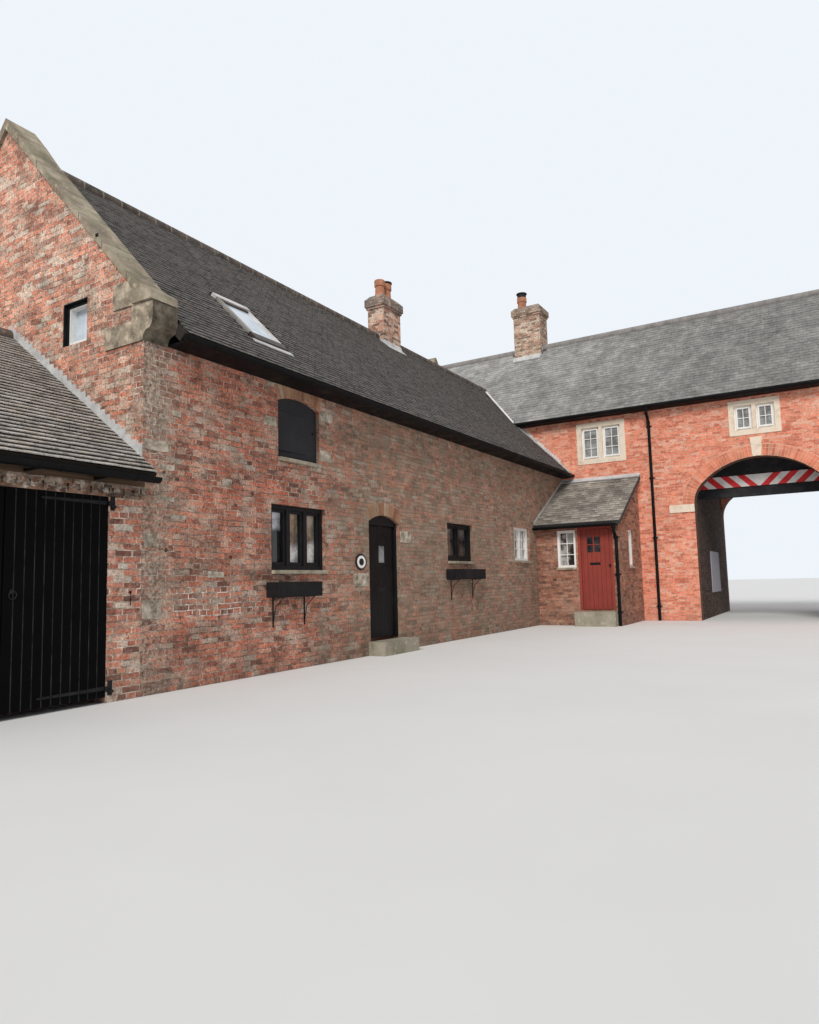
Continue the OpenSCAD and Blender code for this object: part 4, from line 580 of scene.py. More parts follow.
# Painted shade: a near-black tone for the inside of small scaffold holes.
hole_shade_tone = mottled("scaffold_hole_shade", 0.95, (30.0, 5.0, 0.7, (0.35, (0.045, 0.034, 0.027)),
                                                (0.65, (0.15, 0.115, 0.09))), (55.0, 5.0, 0.7))
old_stone = mottled("old_stone", 0.92, (9.0, 6.0, 0.75, (0.36, (0.17, 0.14, 0.105)), (0.50, (0.43, 0.37, 0.295)),
                                        (0.64, (0.70, 0.63, 0.52))), (40.0, 6.0, 0.7), 0.006)
blocks, dice = Piece("bonded_stones"), random.Random(41)
for x0, x1, z0, z1 in ((1.98, 2.22, 3.37, 3.50), (3.21, 3.51, 3.65, 3.79), (3.18, 3.46, 3.02, 3.19),
                       (2.95, 3.20, 2.85, 2.955), (5.44, 5.80, 1.87, 2.07), (4.00, 4.41, 1.12, 1.33),
                       (0.97, 1.24, 1.28, 1.355), (0.02, 0.27, 0.83, 1.03), (0.03, 0.36, 2.74, 2.86),
                       (0.22, 0.45, 2.53, 2.60), (0.41, 0.54, 3.19, 3.26), (0.22, 0.45, 2.165, 2.22),
                       (0.40, 0.63, 1.965, 2.02), (1.21, 1.37, 2.44, 2.53), (0.03, 0.20, 1.62, 1.78)):
    ends, rim = ((x0, z0), (x1, z0), (x1, z1), (x0, z1)), []
    for (a, b), (c, d) in zip(ends, ends[1:] + ends[:1]):
        rim += [(a + (c - a) * share + dice.uniform(-0.008, 0.008), 0.004,
                 b + (d - b) * share + dice.uniform(-0.007, 0.007)) for share in (0.0, 0.2, 0.4, 0.6, 0.8)]
    blocks.prism(rim, (0, -0.010, 0))
blocks.done(old_stone, "stone", arris=0.002)
# Painted shade: dark discs, just proud of the wall, stand for the shade inside small scaffold holes.
hole_shades = Piece("scaffold_hole_plugs")
for x, z in ((0.306, 2.50), (0.49, 2.44), (1.69, 2.78), (1.745, 2.39), (1.435, 2.21), (0.34, 1.60), (1.35, 1.54)):
    ring = [2 * pi * (k + dice.uniform(-0.3, 0.3)) / 9 for k in range(9)]
    wide, tall = dice.uniform(0.022, 0.036), dice.uniform(0.018, 0.030)
    hole_shades.prism([(x + (wide + dice.uniform(-0.009, 0.009)) * cos(a), 0.001,
                  z + (tall + dice.uniform(-0.007, 0.007)) * sin(a)) for a in ring], (0, -0.0025, 0))
hole_shades.done(hole_shade_tone, "stone", arris=0.001)


# Copings and kneelers. Sawn stone slabs cap the three gables, bedded in mortar with a joint about every half
# metre, on kneeler stones cut to an ogee. Green growth and buff patches lie on the upper slabs.
def weathered_stone(name, light, mid, dark, moss=0.0, joint=None, relief=0.004, scale=2.6, reveal=None):
    """Weathered stone. Joint gives the axis, pitch and start of its cross joints. Reveal is the tone of a painted
    shade, against the face, on the sides that don't look along the building."""
    coat = Finish(name, 0.92)
    tone = coat.patchy(scale, 7.0, 0.66, (0.30, dark), (0.50, mid), (0.72, light))
    tone = coat.dull(tone, coat.patchy(45.0, 5.0, 0.7, (0.3, 0.62), (0.65, 1.0)), 0.55)
    tone = coat.mix(tone, (0.70, 0.60, 0.44), coat.patchy(9.0, 3.0, 0.55, (0.60, 0.0), (0.70, 0.6)))
    if moss:
        tone = coat.mix(tone, (0.21, 0.22, 0.13), coat.patchy(4.0, 5.0, 0.7, (0.42, 0.0), (0.62, moss)))
    height = coat.grain(30.0, 6.0, 0.7)
    # Painted shade: sides that don't look along the building are dulled to the reveal tone.
    if reveal:
        tone = coat.dull(tone, coat.put("MapRange", abs(coat.facing()[0]), 0.45, 0.75, reveal, 1.0))
    if joint:
        axis, pitch, start = joint
        line = coat.split(coat.place)[axis].from_middle(pitch, start) < 0.012
        tone = coat.mix(tone, (0.13, 0.11, 0.09), line)
        height = height - line * 0.8
    return coat.paint(tone, height, relief)


dress(weathered_stone("coping_stone", (0.66, 0.57, 0.44), (0.36, 0.295, 0.225), (0.15, 0.12, 0.092), 0.45,
                      (1, 0.47, 0.1)), "gable_copings")
# The kneelers' faces that don't look along the building carry painted shade.
dress(weathered_stone("kneeler_stone", (0.86, 0.73, 0.56), (0.40, 0.33, 0.25), (0.09, 0.075, 0.058), 0.18,
                      scale=6.0, reveal=0.42), "kneeler_stones")


# Main roof. Hand-made clay plain tiles on battens, two nibs each, laid about 90 mm apart. They have weathered
# almost black. Each tail shows a paler edge, partly worn and partly a painted highlight, and a painted shadow lies
# under each tail. Half-round ridge tiles are bedded along the top.
def tile_unit(name, wide, long, thick, tail_lift, gauge, pale_tail, dark):
    """One tile or slate on its slope: its tail lies on the course below. An attribute marks the tail with 1,
    for its wear and painted highlight, and fades to 0 where a painted shadow lies under the next tail."""
    unit = bmesh.new()
    h = wide / 2
    low, high = [[unit.verts.new((x, y, tail_lift * (1 - y / long) + rise)) for y in stops for x in (-h, h)]
                 for stops, rise in (((0.0, long), 0.0), ((0.0, pale_tail, gauge - dark, long), thick))]
    faces = [((low[0], low[1], high[1], high[0]), 1.0), ((low[0], low[2], low[3], low[1]), 0.5),
             ((low[2], high[6], high[7], low[3]), 0.5),
             ((high[0], high[2], high[4], high[6], low[2], low[0]), 0.5),
             ((high[1], low[1], low[3], high[7], high[5], high[3]), 0.5)]
    for k, mark in enumerate((0.80, 0.5, 0.0)):
        faces.append(((high[2 * k], high[2 * k + 1], high[2 * k + 3], high[2 * k + 2]), mark))
    for corners, _ in faces:
        unit.faces.new(corners)
    bmesh.ops.recalc_face_normals(unit, faces=unit.faces)
    made = as_mesh(name, unit)
    made.attributes.new("tail", "FLOAT", "FACE").data.foreach_set("value", [mark for _, mark in faces])
    return made


def slope_beds(foot, along, up, width, height, pitch_x, pitch_y, chance, keep=None):
    """Beds for courses of tiles on a slope, from the eaves upwards, every other course half a tile over. The
    courses that start half a tile over end in a wider tile at each verge, a little proud of its neighbour."""
    out = along.cross(up).normalized()
    turn = Matrix((along, up, out)).transposed().to_euler()
    beds, count = [], round(width / pitch_x)
    pitch_x = width / count
    for row in range(int(height / pitch_y)):
        shifted = row % 2 == 1
        dip = chance.uniform(-0.002, 0.002)
        spots = [(pitch_x * (col + (1.0 if shifted else 0.5)), 0.0) for col in range(count - shifted)]
        if shifted:
            spots += [(pitch_x * 0.5, 0.002), (width - pitch_x * 0.5, 0.002)]
        for s, proud in spots:
            place = foot + along * s + up * (pitch_y * row) + out * (dip + proud)
            if keep is None or keep(place - corner):
                beds.append((place, turn))
    return beds


def roof_covering(name, *shades, tail, moss, joint=0.25, edge_share=1.0, cloud=0.4, patches=(), drift=None):
    """Tiles or slates: each unit has its own tone, a pale tail that is worn and partly a painted highlight, and
    a painted shadow under the tail above it. A patch is a tint, the scale of its noise and its share. Drift
    brightens along an axis, from a start to a stop."""
    coat = Finish(name, 0.88)
    own = coat.put("Attribute", attribute_name="shade", out="Fac")
    edge = coat.put("Attribute", attribute_name="tail", out="Fac")
    body = coat.ramp(own, *shades)
    for tint, scale, share in patches:
        body = coat.mix(body, tint, coat.patchy(scale, 5.0, 0.68, (0.50, 0.0), (0.66, share)))
    body = coat.dull(body, coat.patchy(1.3, 6.0, 0.68, (0.34, 1.0 - cloud), (0.64, 1.0 + cloud * 0.5)))
    if drift:
        axis, *limits = drift
        body = coat.dull(body, coat.put("MapRange", coat.split(coat.place)[axis], *limits))
    body = coat.mix(body, moss, coat.patchy(26.0, 4.0, 0.7, (0.54, 0.0), (0.68, 0.6)))
    # Painted highlight and shadow: the pale tail is partly wear and partly a painted highlight, and the joint tone
    # darkens the strip under the next tail as a painted shadow.
    pale_tail = coat.ramp(edge, (0.55, 0.0), (0.95, edge_share)) * coat.patchy(7.0, 5.0, 0.7, (0.34, 0.35), (0.60, 1.0))
    body = coat.dull(coat.mix(body, tail, pale_tail), coat.ramp(edge, (0.05, joint), (0.45, 1.0)))
    return coat.paint(body, coat.grain(42.0, 5.0, 0.7), 0.003)


dress(mottled("tile_batten", 0.95, (6.0, 4.0, 0.6, (0.0, (0.022, 0.018, 0.015)), (1.0, (0.05, 0.042, 0.034))),
              (30.0, 4.0), 0.003),
      "main_roof_front", "main_roof_rear", "valley_roof", "garage_roof_front", "garage_roof_rear")
dark_tile = roof_covering("dark_clay_tile", (0.0, (0.016, 0.015, 0.015)), (0.45, (0.044, 0.039, 0.038)),
                          (0.85, (0.085, 0.075, 0.073)), (1.0, (0.22, 0.196, 0.187)), tail=(0.43, 0.405, 0.38),
                          moss=(0.20, 0.185, 0.16), joint=0.03, cloud=0.60,
                          patches=[((0.12, 0.072, 0.062), 1.9, 0.7), ((0.085, 0.09, 0.07), 2.7, 0.6)])
main_deep, main_pitch, main_eave = 5.86, radians(45), 4.405
tile_wide, gauge = 0.165, 0.090
gate_foot_x, gate_foot_z, gate_pitch = 14.3, 6.000, radians(46.6)


def clear_of_gatehouse(place, margin=0.06):
    """True where the main roof lies above the gatehouse slope or before it."""
    before = place.x < gate_foot_x - 0.02
    return before or place.z > gate_foot_z + (place.x - gate_foot_x) * tan(gate_pitch) - margin


def main_tile_shows(place):
    """False under the gatehouse slope, past the far wall, and under the roof window and the stack."""
    beyond = place.x > 14.02 and not 0.0 <= place.y <= main_deep
    window = 1.90 < place.x < 2.74 and 0.17 < place.y < 0.21 + 1.22 * cos(main_pitch)
    stack = 9.16 < place.x < 10.06 and 2.62 < place.y < 3.22
    return clear_of_gatehouse(place) and not (beyond or window or stack)


def tiled_pair(name, unit, finish, seed, play, foot, far, width, deep, over, eave, pitch, gauge, chance, keep=None):
    """Tiles the front and the rear slope of a roof along x. Foot and far are the places where their courses start,
    deep is the depth over the walls, over the reach of the eaves and eave the height over the wall's face."""
    run = (deep / 2 + over[0]) / cos(pitch) - over[1]
    for side, x, y, way, long in (("front", foot, -over[0], 1, width[0]),
                                  ("rear", far, deep + over[0], -1, width[1])):
        beds = slope_beds(spot(x, y, eave - over[0] * tan(pitch)), Vector((way, 0, 0)),
                          Vector((0, way * cos(pitch), sin(pitch))), long, run, tile_wide, gauge, chance, keep)
        lay(f"{name}_{side}", unit, beds, finish, "clay_tile", seed + (way < 0), *play)


tiled_pair("main_tiles", tile_unit("plain_tile", 0.161, 0.125, 0.013, 0.018, gauge, 0.022, 0.042), dark_tile, 21,
           (0.012, 0.014, 0.006), 0.385, 15.80, (15.4, 15.41), main_deep, (0.29, 0.05), main_eave, main_pitch, gauge,
           random.Random(11), main_tile_shows)


def ridge_clay(name, light, dark, moss, pitch=0.33):
    """Half-round ridge tiles, with a mortar joint at the end of each. Those above eight metres are paler."""
    coat = Finish(name, 0.88)
    x, y, z = coat.split(coat.place)
    by_x = abs(coat.facing()[0]) > 0.05
    cell = coat.sum("FRACT", y / pitch) * by_x + coat.sum("FRACT", x / pitch) * (1.0 - by_x)
    line = (abs(cell - 0.5) < 0.035) * 0.7
    tone = coat.patchy(3.0, 6.0, 0.7, (0.34, dark), (0.66, light))
    upper = coat.patchy(3.6, 6.0, 0.7, (0.34, (0.19, 0.175, 0.17)), (0.66, (0.34, 0.32, 0.31)))
    tone = coat.mix(tone, upper, z > 8.0)
    tone = coat.mix(tone, moss, coat.patchy(14.0, 4.0, 0.7, (0.55, 0.0), (0.68, 0.8)))
    return coat.paint(coat.mix(tone, (0.36, 0.33, 0.28), line), coat.grain(35.0, 5.0) - line, 0.005)


dress(ridge_clay("ridge_clay", (0.17, 0.13, 0.11), (0.06, 0.05, 0.045), (0.30, 0.29, 0.22)), "ridge_tiles")


# Garage walls. Later brickwork with wide pale joints, rubbed and patched. Under the eaves, where an oversailing
# course and dentils carry the plate, it is darkened with painted shade. The pier holds the hinge plates and a hook
# for the leaf.
garage_bricks = [(0.14, (0.26, 0.12, 0.09)), (0.28, (0.60, 0.22, 0.145)), (0.46, (0.78, 0.30, 0.20)),
                 (0.64, (0.82, 0.35, 0.23)), (0.78, (0.80, 0.52, 0.39)), (0.90, (0.78, 0.67, 0.56))]
dress(brickwork("garage_brick", garage_bricks, (0.95, 0.78, 0.64), pale=(0.94, 0.84, 0.72), pale_share=0.55,
                washes=[((0.24, 0.18, 0.14), 2, 0.5, 0.0, 0.45)], stain=0.22, joint=0.015, wear=0.55),
      "garage_piers", "garage_gable_wall", "garage_rear_wall")
# Painted shade: the lintel wall under the eaves takes a dark copy of the garage brick, with pale smears.
dress(brickwork("garage_eaves_shaded_brick", [(0.1, (0.07, 0.05, 0.04)), (0.4, (0.23, 0.13, 0.09)),
                                       (0.7, (0.42, 0.22, 0.15)), (0.95, (0.54, 0.43, 0.33))],
                (0.52, 0.45, 0.36), pale=(0.84, 0.78, 0.68), pale_share=0.85, wear=0.7), "garage_lintel_wall")


def sawn_wood(name, roughness, stretch, scale, *shades):
    """Sawn wood whose grain runs along the building."""
    coat = Finish(name, roughness)
    fibre = coat.put("TexNoise", Vector=coat.put("Mapping", coat.place, Scale=stretch), Scale=scale, Detail=5.0)
    return coat.paint(coat.ramp(fibre, *shades), fibre, 0.002)


dress(sawn_wood("stained_plate", 0.7, (0.6, 14.0, 14.0), 3.0, (0.30, (0.055, 0.034, 0.022)),
                (0.55, (0.11, 0.068, 0.042)), (0.75, (0.17, 0.11, 0.07))), "garage_eaves_plates")


def black_coat(name, tone, gloss, wear, boards=None, shine=0.12, rubbed=None):
    """Black paint, dulled by dust in the hollows and worn to grey in places. Boards gives axis, start and width.
    Rubbed is the tone of a painted highlight on the sloping edges of the boards."""
    coat = Finish(name, gloss, Specular_IOR_Level=shine)
    dust = coat.grain(3.0, 5.0, 0.7)
    body = coat.mix((tone, tone, tone * 1.15), (tone * 3.2, tone * 3.1, tone * 3.0),
                    coat.ramp(dust, (0.45, 0.0), (0.75, wear)))
    relief = coat.grain(70.0, 3.0, 0.6)
    if rubbed:
        # Painted highlight: the sloping board edges are lightened to a bluish grey.
        sloping = coat.sum("COMPARE", abs(coat.facing()[0]), 0.62, 0.15)
        edge_highlight = sloping * coat.patchy(5.0, 5.0, 0.7, (0.36, 0.25), (0.60, 1.0))
        body = coat.mix(body, (rubbed, rubbed * 1.04, rubbed * 1.12), edge_highlight)
    if boards:
        axis, start, wide = boards
        groove = coat.ramp(coat.split(coat.place)[axis].from_middle(wide, start), (0.44, 0.0), (0.49, 1.0))
        body = coat.mix(body, (tone * 0.3,) * 3, groove)
        relief = relief * 0.15 - groove
    return coat.paint(body, relief, 0.004, coat.ramp(dust, (0.3, gloss - 0.1), (0.7, min(1.0, gloss + 0.25))))


black_iron = black_coat("black_ironwork", 0.014, 0.5, 0.9)
hook = Piece("garage_wall_hook")
hook.rod([(-0.140, 0.002, 1.135), (-0.140, -0.014, 1.135), (-0.140, -0.018, 1.12), (-0.139, -0.016, 1.06),
          (-0.137, -0.014, 0.99)], 0.006, 8)
hook.stud(-0.140, 1.135, (-0.002, -0.020), 0.013, 10)
for z in (0.15, 2.08):
    hook.block((-0.396, -0.0045, z - 0.075), (-0.340, 0.001, z + 0.075))
    for dz in (-0.05, 0.0, 0.05):
        hook.stud(-0.368, z + dz, (-0.004, -0.008, -0.009), 0.0075)
hook.done(black_iron, "black_iron", smooth=True)
cramp = Piece("coping_cramp")
cramp.block((-0.052, 0.80, 5.435), (-0.044, 0.85, 5.475))
cramp.rod([(x, 0.825, 5.455) for x in (-0.046, -0.060, -0.066)], 0.010, 8)
cramp.done(black_iron, "black_iron", arris=0.001)


# Garage roof. Brown-grey clay plain tiles, 94 mm apart, with bright tails, partly worn and partly a painted
# highlight, over joints dark with painted shadow, up to the gable of the house, where a stepped lead flashing is
# let into the brick joints.
garage_tile = roof_covering("garage_clay_tile", (0.0, (0.070, 0.060, 0.054)), (0.4, (0.135, 0.118, 0.106)),
                            (0.8, (0.26, 0.23, 0.205)), (1.0, (0.50, 0.45, 0.40)), tail=(0.96, 0.89, 0.82),
                            moss=(0.42, 0.38, 0.31), joint=0.010, cloud=0.55,
                            patches=[((0.44, 0.31, 0.17), 3.1, 0.5)])
garage_pitch, garage_eave, garage_over, garage_gauge, garage_long = radians(36), 2.602, 0.25, 0.094, 3.10
tiled_pair("garage_tiles", tile_unit("garage_tile", 0.160, 0.135, 0.014, 0.020, garage_gauge, 0.026, 0.050),
           garage_tile, 31, (0.014, 0.016, 0.006), -garage_long, 0.0, (garage_long, garage_long), 5.50,
           (garage_over, 0.06), garage_eave, garage_pitch, garage_gauge, random.Random(17))


# Garage doors. Two ledged leaves of V-jointed boards about 98 mm wide, painted black, hung on strap hinges with
# forged eyes that drop over pins in the piers. The right leaf has a ring handle.
# The door boards carry a painted highlight on their sloping edges.
door_black = black_coat("garage_door_paint", 0.0022, 0.45, 0.5, shine=0.04, rubbed=0.05)


def boarded_leaf(side, x0, x1, hand, pin_x, handle=None, z0=0.06, z1=2.144, thick=0.05, count=11):
    """A leaf and its straps. Hand is the way from the pin to the meeting edge, handle the place of the ring."""
    leaf, groove, sink, wide = Piece(f"garage_{side}_boards"), 0.005, 0.004, (x1 - x0) / count
    face = []
    for i in range(count):
        a, b = x0 + wide * i, x0 + wide * (i + 1)
        face += [(a, sink if i else 0.0), (a + groove, 0.0), (b - groove, 0.0)]
    leaf.prism([(x, y, z0) for x, y in face + [(x1, 0.0), (x1, thick), (x0, thick)]], (0, 0, z1 - z0))
    leaf.done(door_black, "black_paint", body=f"garage_{side}_leaf", node=f"garage_door_{side}")
    straps = Piece(f"garage_{side}_straps")
    tip, near = pin_x + hand * 0.74, pin_x + hand * 0.012
    outline = ((near, 0.0), (tip - hand * 0.02, 0.009), (tip, 0.014), (tip, 0.026), (tip - hand * 0.02, 0.031),
               (near, 0.04))
    for z in (0.13, 2.06):
        straps.prism([(x, -0.006, z + h) for x, h in outline], (0, 0.0058, 0))
        straps.tube([[spot(pin_x + a, b - 0.020, z + h) for a, b in circle(radius, 24)]
                     for radius, h in ((0.0083, 0.0), (0.016, 0.0), (0.016, 0.04), (0.0083, 0.04))], closed=True)
        for reach in (0.10, 0.26, 0.42, 0.58, 0.70):
            straps.stud(pin_x + hand * reach, z + 0.02, (-0.0058, -0.0095, -0.0105), 0.0075)
    if handle:
        hx, hz = handle
        straps.stud(hx, hz + 0.03, (0.0, -0.006), 0.022, 16)
        straps.stud(hx, hz + 0.03, (-0.004, -0.022), 0.007, 10)
        straps.rod([(hx + 0.036 * sin(a), -0.014 - 0.004 * cos(a), hz - 0.004 + 0.036 * cos(a))
                    for a in [2 * pi * k / 28 for k in range(29)]], 0.0048, 8)
    straps.done(black_iron, "black_iron", body=f"garage_{side}_leaf", smooth=True)


boarded_leaf("right", -1.507, -0.423, -1, -0.420, (-1.42, 1.14))
boarded_leaf("left", -2.603, -1.519, 1, -2.606)
dress(black_iron, "hinge_pintles")


# Gatehouse walls. Brighter orange-red brick in narrow pale joints, two storeys over a carriage arch.
# The passage inside is the same brick, darkened with painted shade, with a plain boarded ceiling.
gate_bricks = [(0.14, (0.70, 0.20, 0.12)), (0.30, (0.93, 0.28, 0.175)), (0.50, (0.98, 0.335, 0.21)),
               (0.70, (0.98, 0.37, 0.24)), (0.86, (0.96, 0.50, 0.36))]
dress(brickwork("gatehouse_brick", gate_bricks, (0.98, 0.62, 0.47), pale=(0.98, 0.72, 0.57), pale_share=0.28,
                washes=[((0.38, 0.21, 0.15), 2, 0.7, 0.0, 0.45)], stain=0.12, hot=((0.98, 0.32, 0.18), 0.4),
                wear=0.22, stone=(0.72, 0.50, 0.38), passage_shade=(-7.5, -3.0)),
      "gatehouse_front_walls", "gatehouse_arch_wall", "gatehouse_rear_walls", "gatehouse_wall_over_passage",
      "gatehouse_gable_walls")
# Painted shade: the passage walls take a near-black copy of the brick.
dress(brickwork("passage_shaded_brick", [(0.1, (0.050, 0.027, 0.020)), (0.5, (0.105, 0.052, 0.038)),
                                  (0.9, (0.15, 0.088, 0.064))], (0.12, 0.098, 0.082), pale=(0.19, 0.16, 0.13),
                stone=(0.12, 0.105, 0.09)), "passage_walls")
dress(black_coat("passage_timber", 0.02, 0.75, 0.8), "passage_beams")
dress(sawn_wood("floor_boards", 0.75, (0.5, 9.0, 9.0), 2.5, (0.3, (0.10, 0.07, 0.045)), (0.7, (0.22, 0.16, 0.10))),
      "upper_floors")
quarry = Finish("quarry_floor", 0.85)
quarry_tile, seam = quarry.put("TexBrick", Vector=quarry.place, Color1=(0.30, 0.15, 0.10), Color2=(0.42, 0.22, 0.15),
                               Mortar=(0.25, 0.22, 0.19), Scale=1.0, Mortar_Size=0.006, Brick_Width=0.23,
                               Row_Height=0.23, offset=0.0, out=("Color", "Fac"))
worn_tile = quarry.mix(quarry_tile, (0.20, 0.13, 0.10), quarry.patchy(3.0, 3.0, 0.6, (0.4, 0.0), (0.7, 0.5)))
dress(quarry.paint(worn_tile, quarry.grain(20.0) - seam, 0.002), "ground_floors")


# Carriage arch. A three-centred arch in a ring of bricks on edge, turned from stone imposts to a keystone.
# The ring runs round the front and the back of the passage, a few millimetres proud of its bed of mortar.
# Painted shade: the sides and underside of the ring's mortar bed are dulled almost to black.
dress(weathered_stone("arch_mortar", (0.96, 0.62, 0.47), (0.88, 0.52, 0.38), (0.62, 0.34, 0.25), reveal=0.06),
      "arch_ring")
dress(weathered_stone("dressed_stone", (0.98, 0.88, 0.74), (0.97, 0.82, 0.66), (0.70, 0.57, 0.45), 0.08,
                      relief=0.003, scale=4.0), "arch_stones", "window_surrounds")
gate_arch_brick = shaded_brick("gatehouse_arch_brick", (0.0, (0.84, 0.25, 0.15)), (0.5, (0.97, 0.33, 0.20)),
                               (0.85, (0.98, 0.38, 0.24)), (1.0, (0.97, 0.50, 0.36)))
arch_mid, springing, haunch, half_span, arch_rise, arch_course = -5.05, 3.005, 0.75, 1.54, 1.09, 0.0705
reach = half_span - haunch
drop_to = (reach ** 2 - (arch_rise - haunch) ** 2) / (2 * (arch_rise - haunch))
crown = arch_rise + drop_to
lean, key_lean = atan2(reach, drop_to), 0.062


def bonded_unit(name, foot, radius, depths=(0.185, 0.085), gap=0.009):
    """Two arch bricks end to end, tapered to the arch."""
    whole, start = bmesh.new(), 0.004
    for depth in depths:
        part = brick_unit(name, foot * (radius + start) / radius, foot * (radius + start + depth) / radius, depth)
        part.transform(Matrix.Translation((0, start, 0)))
        whole.from_mesh(part)
        bpy.data.meshes.remove(part)
        start += depth + gap
    return as_mesh(name, whole)


for face, x, out in (("front", 14.288, Vector((-1, 0, 0))), ("rear", 19.812, along_x)):
    centre, middle, sides = spot(x, arch_mid, springing), [], []
    for hand in (-1, 1):
        middle += arch_beds(centre - Vector((0, 0, drop_to)), along_y, out, crown, hand * key_lean, hand * lean,
                            round((lean - key_lean) * crown / arch_course))
        sides += arch_beds(centre + along_y * hand * reach, along_y, out, haunch, hand * lean, hand * radians(90), 8)
    lay(f"arch_crown_bricks_{face}", bonded_unit("crown_brick", 0.0615, crown), middle, gate_arch_brick,
        "brick_gate", 41, sway=0.008)
    lay(f"arch_haunch_bricks_{face}", bonded_unit("haunch_brick", 0.062, haunch), sides, gate_arch_brick,
        "brick_gate", 43, sway=0.008)


# Height board. A painted board is fixed to the beam inside the arch, with the common red and white chevrons
# that point to the middle of the passage, where they meet in a white V.
board = Finish("chevron_board", 0.45)
_, y, z = board.split(board.place)
from_mid, over_edge = abs(y - (corner.y - 5.00)), z - 3.43
stripe = board.sum("FRACT", (from_mid - (over_edge + 0.02)) / 0.40)
outside = from_mid - over_edge > 0.03
chevron = board.mix((0.80, 0.79, 0.77), (0.70, 0.03, 0.035), (stripe < 0.50) * outside)
dress(board.paint(board.dull(chevron, board.patchy(5.0, 5.0, 0.7, (0.40, 0.78), (0.66, 1.0))), board.grain(50.0),
                  0.0006), "height_board")


# Gatehouse roof. Grey slates about 200 mm wide on a steeper pitch, mottled pale with lichen and soot.
# They run behind the two coped gables and down behind the ridge of the main roof.
dress(mottled("slate_batten", 0.95, (6.0, 3.0, 0.6, (0.0, (0.05, 0.05, 0.05)), (1.0, (0.09, 0.088, 0.085))),
              (25.0,), 0.002), "gatehouse_roof_front", "gatehouse_roof_rear", "porch_roof")
grey_slate = roof_covering("gatehouse_slate", (0.0, (0.250, 0.246, 0.238)), (0.4, (0.275, 0.270, 0.260)),
                           (0.8, (0.300, 0.295, 0.283)), (1.0, (0.335, 0.330, 0.315)), tail=(0.33, 0.325, 0.31),
                           moss=(0.40, 0.395, 0.37), joint=0.84, edge_share=0.25, cloud=0.30,
                           patches=[((0.17, 0.168, 0.16), 3.6, 0.6), ((0.44, 0.43, 0.405), 5.2, 0.5)],
                           drift=(1, corner.y - 4.0, corner.y + 2.5, 0.84, 1.22))
slate_gauge, slate_wide, gate_eave_x, gate_ridge_x = 0.130, 0.20, 14.05, 17.05
slate = tile_unit("slate", 0.197, 0.185, 0.007, 0.0099, slate_gauge, 0.012, 0.016)


def slate_shows(place):
    """False round the stack and under the main roof."""
    if 16.70 < place.x < 17.5 and 1.28 < place.y < 2.34:
        return False
    inside = -0.30 < place.y < 6.16 and place.x < 15.75
    return not (inside and place.z < main_eave + min(place.y, main_deep - place.y) - 0.04)


luck = random.Random(23)
for side, x, y, way, seed in (("front", gate_eave_x, 5.51, 1, 51),
                              ("rear", 2 * gate_ridge_x - gate_eave_x, -9.75, -1, 52)):
    beds = slope_beds(spot(x, y, 5.736), Vector((0, -way, 0)), Vector((way * cos(gate_pitch), 0, sin(gate_pitch))),
                      15.26, (gate_ridge_x - gate_eave_x) / cos(gate_pitch) - 0.10, slate_wide, slate_gauge, luck,
                      slate_shows)
    lay(f"gatehouse_slates_{side}", slate, beds, grey_slate, "slate", seed, 0.006, 0.008, 0.004)


# Gutters and rainwater pipes. Half-round cast iron painted black on rise-and-fall brackets, with black boards
# behind the main gutter, and round pipes with eared collars nailed to the wall.
pipe_black = black_coat("rainwater_black", 0.006, 0.42, 0.5, shine=0.09)
dress(pipe_black, "gutters", "downpipes")


def strap_unit(name, radius, wide=0.022, thick=0.004, steps=8):
    """A gutter bracket: a flat strap bent under the gutter."""
    unit = bmesh.new()
    rows = [[unit.verts.new((x, -r * cos(pi * i / steps), -r * sin(pi * i / steps)))
             for r in (radius, radius + thick) for x in (-wide / 2, wide / 2)] for i in range(steps + 1)]
    for a, b in zip(rows, rows[1:]):
        for p, q in ((0, 1), (1, 3), (3, 2), (2, 0)):
            unit.faces.new([a[p], a[q], b[q], b[p]])
    unit.faces.new([rows[0][i] for i in (0, 2, 3, 1)])
    unit.faces.new([rows[-1][i] for i in (0, 1, 3, 2)])
    bmesh.ops.recalc_face_normals(unit, faces=unit.faces)
    return as_mesh(name, unit)


along_front, along_gatehouse = (0, 0, 0), (0, 0, radians(-90))
beds = [(spot(0.75 + 0.92 * i, -0.322, 4.075), along_front) for i in range(15)]
beds += [(spot(x, -0.282, 2.369), along_front) for x in (-2.85, -2.0, -1.15, -0.30)]
beds += [(spot(14.018, 1.0 - 0.95 * i, 5.698), along_gatehouse) for i in range(12)]
beds += [(spot(11.848, y, 2.457), along_gatehouse) for y in (-0.35, -1.1, -1.85)]
lay("gutter_brackets", strap_unit("gutter_strap", 0.0622), beds, pipe_black, "black_iron", 61)
ears = Piece("pipe_collars")
for x, wall_x, y, heights in ((14.24, 14.298, -2.49, (0.35, 2.15, 3.75, 5.15)),
                              (12.02, 12.078, -2.044, (0.30, 1.20, 2.10))):
    for z in heights:
        ears.prism([(x + a, y + b, z) for a, b in circle(0.044, 16)], (0, 0, 0.06))
        ears.block((x + 0.020, y - 0.075, z + 0.018), (wall_x, y + 0.075, z + 0.042))
ears.done(pipe_black, "black_iron", arris=0.002)


# Windows. Black casements in the main range, white ones with glazing bars by the porch and in the gatehouse, each
# in a deep reveal. Bars are thin and bevelled, and the panes are painted with a dim room and with reflections of
# the light outside.
window_black = black_coat("casement_black", 0.012, 0.35, 0.3)
dress(window_black, "black_window_frames")


def painted(name, colour, dirt, gloss=0.4, dirty=0.35):
    """Plain paint with a share of dirt in patches."""
    coat = Finish(name, gloss)
    fine = coat.grain(48.0, 4.0, 0.6)
    return coat.paint(coat.mix(colour, dirt, coat.patchy(4.5, 6.0, 0.7, (0.45, 0.0), (0.75, dirty))), fine, 0.0012,
                      coat.ramp(fine, (0.3, gloss), (0.7, gloss + 0.2)))


